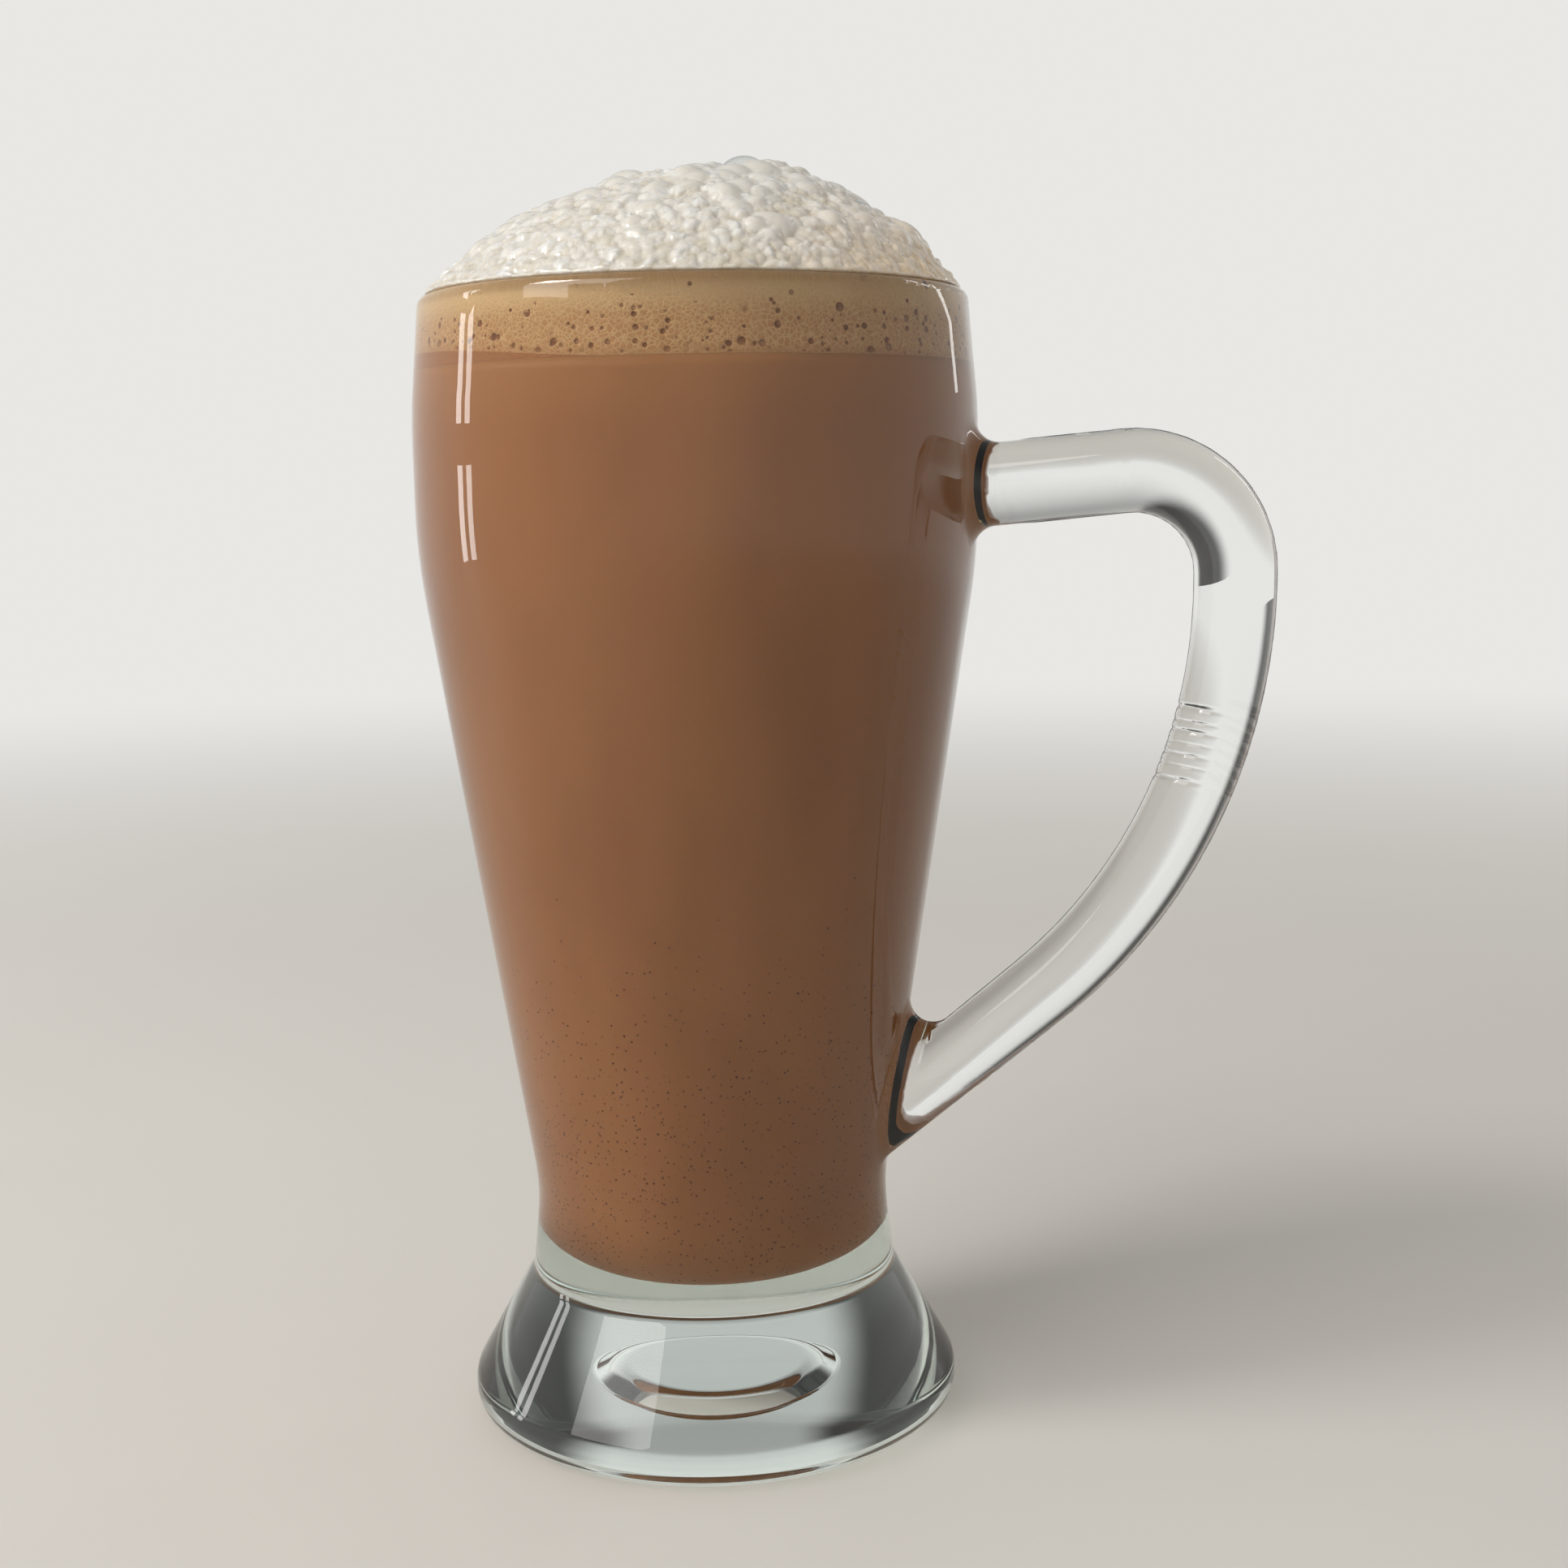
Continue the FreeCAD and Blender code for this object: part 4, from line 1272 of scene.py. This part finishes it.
class TEHTARIK_OT_froth_dome(Piece):
    """Makes the dome of froth over the rim, covered with bubbles of several sizes"""

    bl_idname = "tehtarik.froth_dome"
    bl_label = "Froth Dome"

    def execute(self, context):
        mug, _, froth = self.props(context)[:3]
        dome = Dome(mug, froth)
        piece = new_object("froth_dome", dome_mesh(dome, 120 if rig.quick() else 305))
        grow = Growth("froth_bubbles")
        relief = grow.input("Relief", 1.0)
        seed = grow.input("Seed", float(froth.seed))
        place = grow.out(grow.node("GeometryNodeInputPosition"))
        shift = grow.vector("SCALE", (0.173, 0.291, 0.127))
        grow.feed(shift.socket.node.inputs["Scale"], seed)
        seeded = grow.vector("ADD", place, shift)
        level = grow.axes(place)[2]
        foot = grow.ramp(level, dome.base + 5 * MM, dome.base + 0.5 * MM)
        caps = None
        # cell, shift of the pattern, most and least fullness, and how calm it is at the rim
        layers = (
            (froth.large_bubble, (0.1, 0.0, 0.3), 0.62, 0.46, 0.9),
            (froth.large_bubble * 0.72, (0.4, 0.2, 0.1), 0.66, 0.44, 0.8),
            (froth.middle_bubble, (0.7, 0.5, 0.9), 0.72, 0.40, 0.6),
            (froth.middle_bubble * 0.75, (0.2, 0.9, 0.4), 0.86, 0.36, 0.35),
            (froth.middle_bubble * 0.6, (0.9, 0.3, 0.6), 0.90, 0.10, 0.2),
        )
        for size, offset, most, least, calm in layers:
            moved = grow.moved(seeded, offset)
            seen = grow.out(grow.cells(moved, size, randomness=0.85), "Distance")
            lush = grow.ramp(grow.noise(moved, size * 1.7, detail=1.0), 0.38, 0.66, least - 0.5,
                             most * 0.5)
            lush = lush - foot * calm * 0.5
            cap = lush - seen * seen
            rise = cap * (size * 0.62)
            if caps is None:
                caps, swell, share = rise, cap, 1.0
                continue
            wins = rise.above(caps)
            swell = swell + (cap - swell) * wins
            share = share + (size / froth.large_bubble - share) * wins
            caps = caps.least(rise)
        small = grow.out(grow.cells(seeded, froth.small_bubble), "Distance")
        skin = (0.3 - small * small) * (froth.small_bubble * 0.4)
        height = caps.least(skin) * relief
        dent = None
        for middle, radius in film_places(dome):
            off = grow.vector("DISTANCE", place, tuple(middle), out="Value") / radius
            bowl = (1.0 - off * off).least(0.0) * (radius * 0.5)
            dent = bowl if dent is None else dent.least(bowl)
        clear_of_film = grow.ramp(dent, 0.0, 0.3 * MM, 1.0, 0.25)
        top_only = grow.ramp(level, dome.base - 0.3 * MM, dome.base + 0.2 * MM)
        swell_up = grow.ramp(level, dome.base + 0.5 * MM, dome.base + 6 * MM) * froth.dome_swell
        height = (height * clear_of_film - dent + swell_up) * top_only
        normal = grow.out(grow.node("GeometryNodeInputNormal"))
        move = grow.vector("SCALE", normal)
        grow.feed(move.socket.node.inputs["Scale"], height)
        marked = grow.node("GeometryNodeStoreNamedAttribute", {"data_type": "FLOAT"}, {
            "Geometry": grow.geometry(), "Name": "bubble",
            "Value": grow.ramp(share, 0.3, 0.6) * grow.ramp(swell, 0.0, 0.2)})
        # painted shade: the low ground between the bubble caps is stored here and darkened in the froth's colour
        creased = grow.node("GeometryNodeStoreNamedAttribute", {"data_type": "FLOAT"}, {
            "Geometry": grow.out(marked), "Name": "crease_shade",
            "Value": grow.ramp(swell, 0.08, -0.04)})
        shaped = grow.node("GeometryNodeSetPosition", None,
                           {"Geometry": grow.out(creased), "Offset": move})
        grow.finish(grow.out(shaped), dome_material(froth, dome), piece)
        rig.ride(piece, "root")
        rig.replaces(piece, "froth")
        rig.slot(piece, "froth")
        return {"FINISHED"}


class TEHTARIK_OT_clear_bubbles(Piece):
    """Makes the large clear bubbles on top of the froth"""

    bl_idname = "tehtarik.clear_bubbles"
    bl_label = "Clear Bubbles"

    def execute(self, context):
        mug, _, froth = self.props(context)[:3]
        dome = Dome(mug, froth)
        shape = bmesh.new()
        for middle, radius in film_places(dome):
            for scale in (radius, radius - froth.film_wall):
                made = bmesh.ops.create_icosphere(shape, subdivisions=4, radius=scale)
                bmesh.ops.translate(shape, verts=made["verts"], vec=middle)
                if scale < radius:
                    faces = {f for v in made["verts"] for f in v.link_faces}
                    bmesh.ops.reverse_faces(shape, faces=list(faces))
        mesh = bpy.data.meshes.new("clear_bubbles")
        shape.to_mesh(mesh)
        shape.free()
        mesh.shade_smooth()
        mesh.materials.append(film_material())
        piece = new_object("clear_bubbles", mesh)
        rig.ride(piece, "root")
        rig.slot(piece, "froth")
        return {"FINISHED"}


# ---------------------------------------------------------------- the stage

# lamps besides the window: name, degrees round and up, distance, width, height and watts
LAMPS = (("skylight", -72, 47, 1.1, 0.26, 0.26, 3.2),
         ("soft_box", -54, 38, 1.2, 0.8, 0.8, 6.0),
         ("strip", 128, 24, 1.0, 0.05, 0.6, 0.3))


class TEHTARIK_OT_stage(Piece):
    """Makes the floor, the lamps, the backdrop's light and the camera"""

    bl_idname = "tehtarik.stage"
    bl_label = "Stage"

    def execute(self, context):
        stage = self.props(context)[3]
        scene = context.scene
        scene.view_settings.view_transform = "Standard"
        self.floor(stage)
        self.world(scene, stage)
        self.lamps(stage)
        self.camera(scene, stage)
        return {"FINISHED"}

    def floor(self, stage):
        make = Material("pale_floor", Roughness=0.55, Specular_IOR_Level=0.3)
        place = make.place()
        grain = make.noise(place, 60 * MM, detail=4.0)
        darker = tuple(0.965 * part for part in stage.floor_colour)
        make.set("Base Color", make.mix(grain, opaque(darker), opaque(stage.floor_colour)))
        far = make.ramp(make.vector("LENGTH", place, out="Value"), 0.22, 1.1)
        seen = make.light_path("Is Camera Ray").least(make.light_path("Is Transmission Ray"))
        glow = make.node("ShaderNodeEmission", None, {
            "Color": opaque(stage.backdrop_colour), "Strength": 1.0})
        make.surface(make.mix_shader(far * seen.least(make.light_path("Is Glossy Ray")),
                                     make.out(make.shader), make.out(glow)))
        sides = 96
        ring = [(3.0 * math.cos(2 * math.pi * s / sides), 3.0 * math.sin(2 * math.pi * s / sides),
                 -0.06 * MM) for s in range(sides)]
        piece = new_object("floor", mesh_from("floor", ring, [tuple(range(sides))]))
        piece.data.materials.append(make.material)
        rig.stage(piece)

    def world(self, scene, stage):
        """Pale where it is seen, and plain light where it lights."""
        world = bpy.data.worlds.new("studio")
        world.use_nodes = True
        scene.world = world
        world.node_tree.nodes.clear()
        make = Builder(world.node_tree)
        way = make.out(make.node("ShaderNodeTexCoord"), "Generated")
        x, y, z = make.axes(way)
        high = make.ramp(z, 0.0, 0.75, 1.0, 0.45)
        around = make.math("ARCTAN2", y, x) - (stage.camera_turn + math.pi / 2)
        bands = make.math("COSINE", around * 4.0) * 0.5 + 0.5
        gaps = make.ramp(bands, 0.22, 0.7, 0.08, 1.0)
        path = make.node("ShaderNodeLightPath")
        camera = make.out(path, "Is Camera Ray")
        glossy = make.out(path, "Is Glossy Ray") * (1.0 - camera)
        through = make.out(path, "Is Transmission Ray") * (1.0 - camera)
        first = make.out(make.node("ShaderNodeBackground", None, {
            "Color": (1.0, 0.985, 0.965, 1.0), "Strength": stage.light_level}))
        for share, strength in ((glossy, high), (through, high * gaps), (camera, 1.0)):
            shown = make.out(make.node("ShaderNodeBackground", None, {
                "Color": opaque(stage.backdrop_colour), "Strength": strength}))
            first = make.mix_shader(share, first, shown)
        output = make.node("ShaderNodeOutputWorld")
        make.feed(output.inputs["Surface"], first)

    def lamp(self, stage, name, side, rise, away, width, height, watts, tint):
        """A rectangular lamp, placed by its angle to the right of the camera's side. It
        isn't seen through the glass, where it would show as a ragged white patch."""
        turn = stage.camera_turn + side
        level = Vector((math.sin(turn), -math.cos(turn), 0.0))
        target = Vector((0.0, 0.0, 0.09))
        where = target + (level * math.cos(rise) + Vector((0, 0, math.sin(rise)))) * away
        data = bpy.data.lights.new(name, "AREA")
        data.shape = "RECTANGLE"
        data.size = width
        data.size_y = height
        data.energy = watts
        data.color = tint
        lamp = new_object(name, data)
        lamp.visible_transmission = False
        lamp.location = where
        lamp.rotation_euler = (target - where).to_track_quat("-Z", "Y").to_euler()

    def lamps(self, stage):
        """A window of narrow panes on the left, a small light high above it, a soft box and
        a thin strip on the right."""
        white = (1.0, 0.99, 0.97)
        pane = (0.055, 0.15)
        gap = 0.04
        away = 0.95
        for column in range(2):
            for row in range(3):
                side = math.radians(-103) + (column - 0.5) * (pane[0] + gap) / away
                rise = math.radians(10) + (row - 1) * (pane[1] + gap) / away
                self.lamp(stage, "window_%d_%d" % (column, row), side, rise, away,
                          pane[0], pane[1], 0.14, white)
        for name, side, rise, distance, width, height, watts in LAMPS:
            self.lamp(stage, name, math.radians(side), math.radians(rise), distance,
                      width, height, watts, white)

    def camera(self, scene, stage):
        data = bpy.data.cameras.new("camera")
        data.lens = stage.lens
        data.sensor_width = 36.0
        data.clip_start = 0.01
        data.clip_end = 50.0
        camera = new_object("camera", data)
        turn = stage.camera_turn
        camera.location = (stage.camera_distance * math.sin(turn),
                           -stage.camera_distance * math.cos(turn), stage.camera_height)
        heading = turn - stage.camera_yaw
        ahead = Vector((-math.sin(heading), math.cos(heading), 0.0))
        right = Vector((math.cos(heading), math.sin(heading), 0.0))
        pitch = stage.camera_pitch
        up = Vector((0.0, 0.0, 1.0))
        view = ahead * math.cos(pitch) - up * math.sin(pitch)
        top = up * math.cos(pitch) + ahead * math.sin(pitch)
        roll = stage.camera_roll
        across = right * math.cos(roll) + top * math.sin(roll)
        above = top * math.cos(roll) - right * math.sin(roll)
        camera.rotation_euler = Matrix((across, above, -view)).transposed().to_euler()
        scene.camera = camera


PIECES = (TEHTARIK_OT_glass_mug, TEHTARIK_OT_tea, TEHTARIK_OT_tea_dust,
          TEHTARIK_OT_froth_band, TEHTARIK_OT_froth_dome, TEHTARIK_OT_clear_bubbles,
          TEHTARIK_OT_stage)


class TEHTARIK_PT_panel(bpy.types.Panel):
    """Lists the operators and the sizes they use"""

    bl_idname = "TEHTARIK_PT_panel"
    bl_label = "Teh Tarik"
    bl_space_type = "VIEW_3D"
    bl_region_type = "UI"
    bl_category = "Teh Tarik"

    def draw(self, context):
        for piece in PIECES:
            self.layout.operator(piece.bl_idname)
        for group in GROUPS:
            box = self.layout.box()
            props = getattr(context.scene, "tt_" + group)
            for name in props.bl_rna.properties.keys():
                if name not in ("name", "rna_type"):
                    box.prop(props, name)


def register():
    for group, cls in GROUPS.items():
        bpy.utils.register_class(cls)
        setattr(bpy.types.Scene, "tt_" + group, PointerProperty(type=cls))
    for cls in PIECES + (TEHTARIK_PT_panel,):
        bpy.utils.register_class(cls)


def unregister():
    for cls in (TEHTARIK_PT_panel,) + PIECES[::-1]:
        bpy.utils.unregister_class(cls)
    for group, cls in GROUPS.items():
        delattr(bpy.types.Scene, "tt_" + group)
        bpy.utils.unregister_class(cls)


def main():
    register()
    for piece in PIECES:
        family, name = piece.bl_idname.split(".")
        getattr(getattr(bpy.ops, family), name)()
    boxes = {"cad": [list(corner) for corner in CAD_BOX],
             "visual": [list(corner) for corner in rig.bounds()]}
    with open("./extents.json", "w") as file:
        json.dump(boxes, file)


if __name__ == "__main__":
    main()
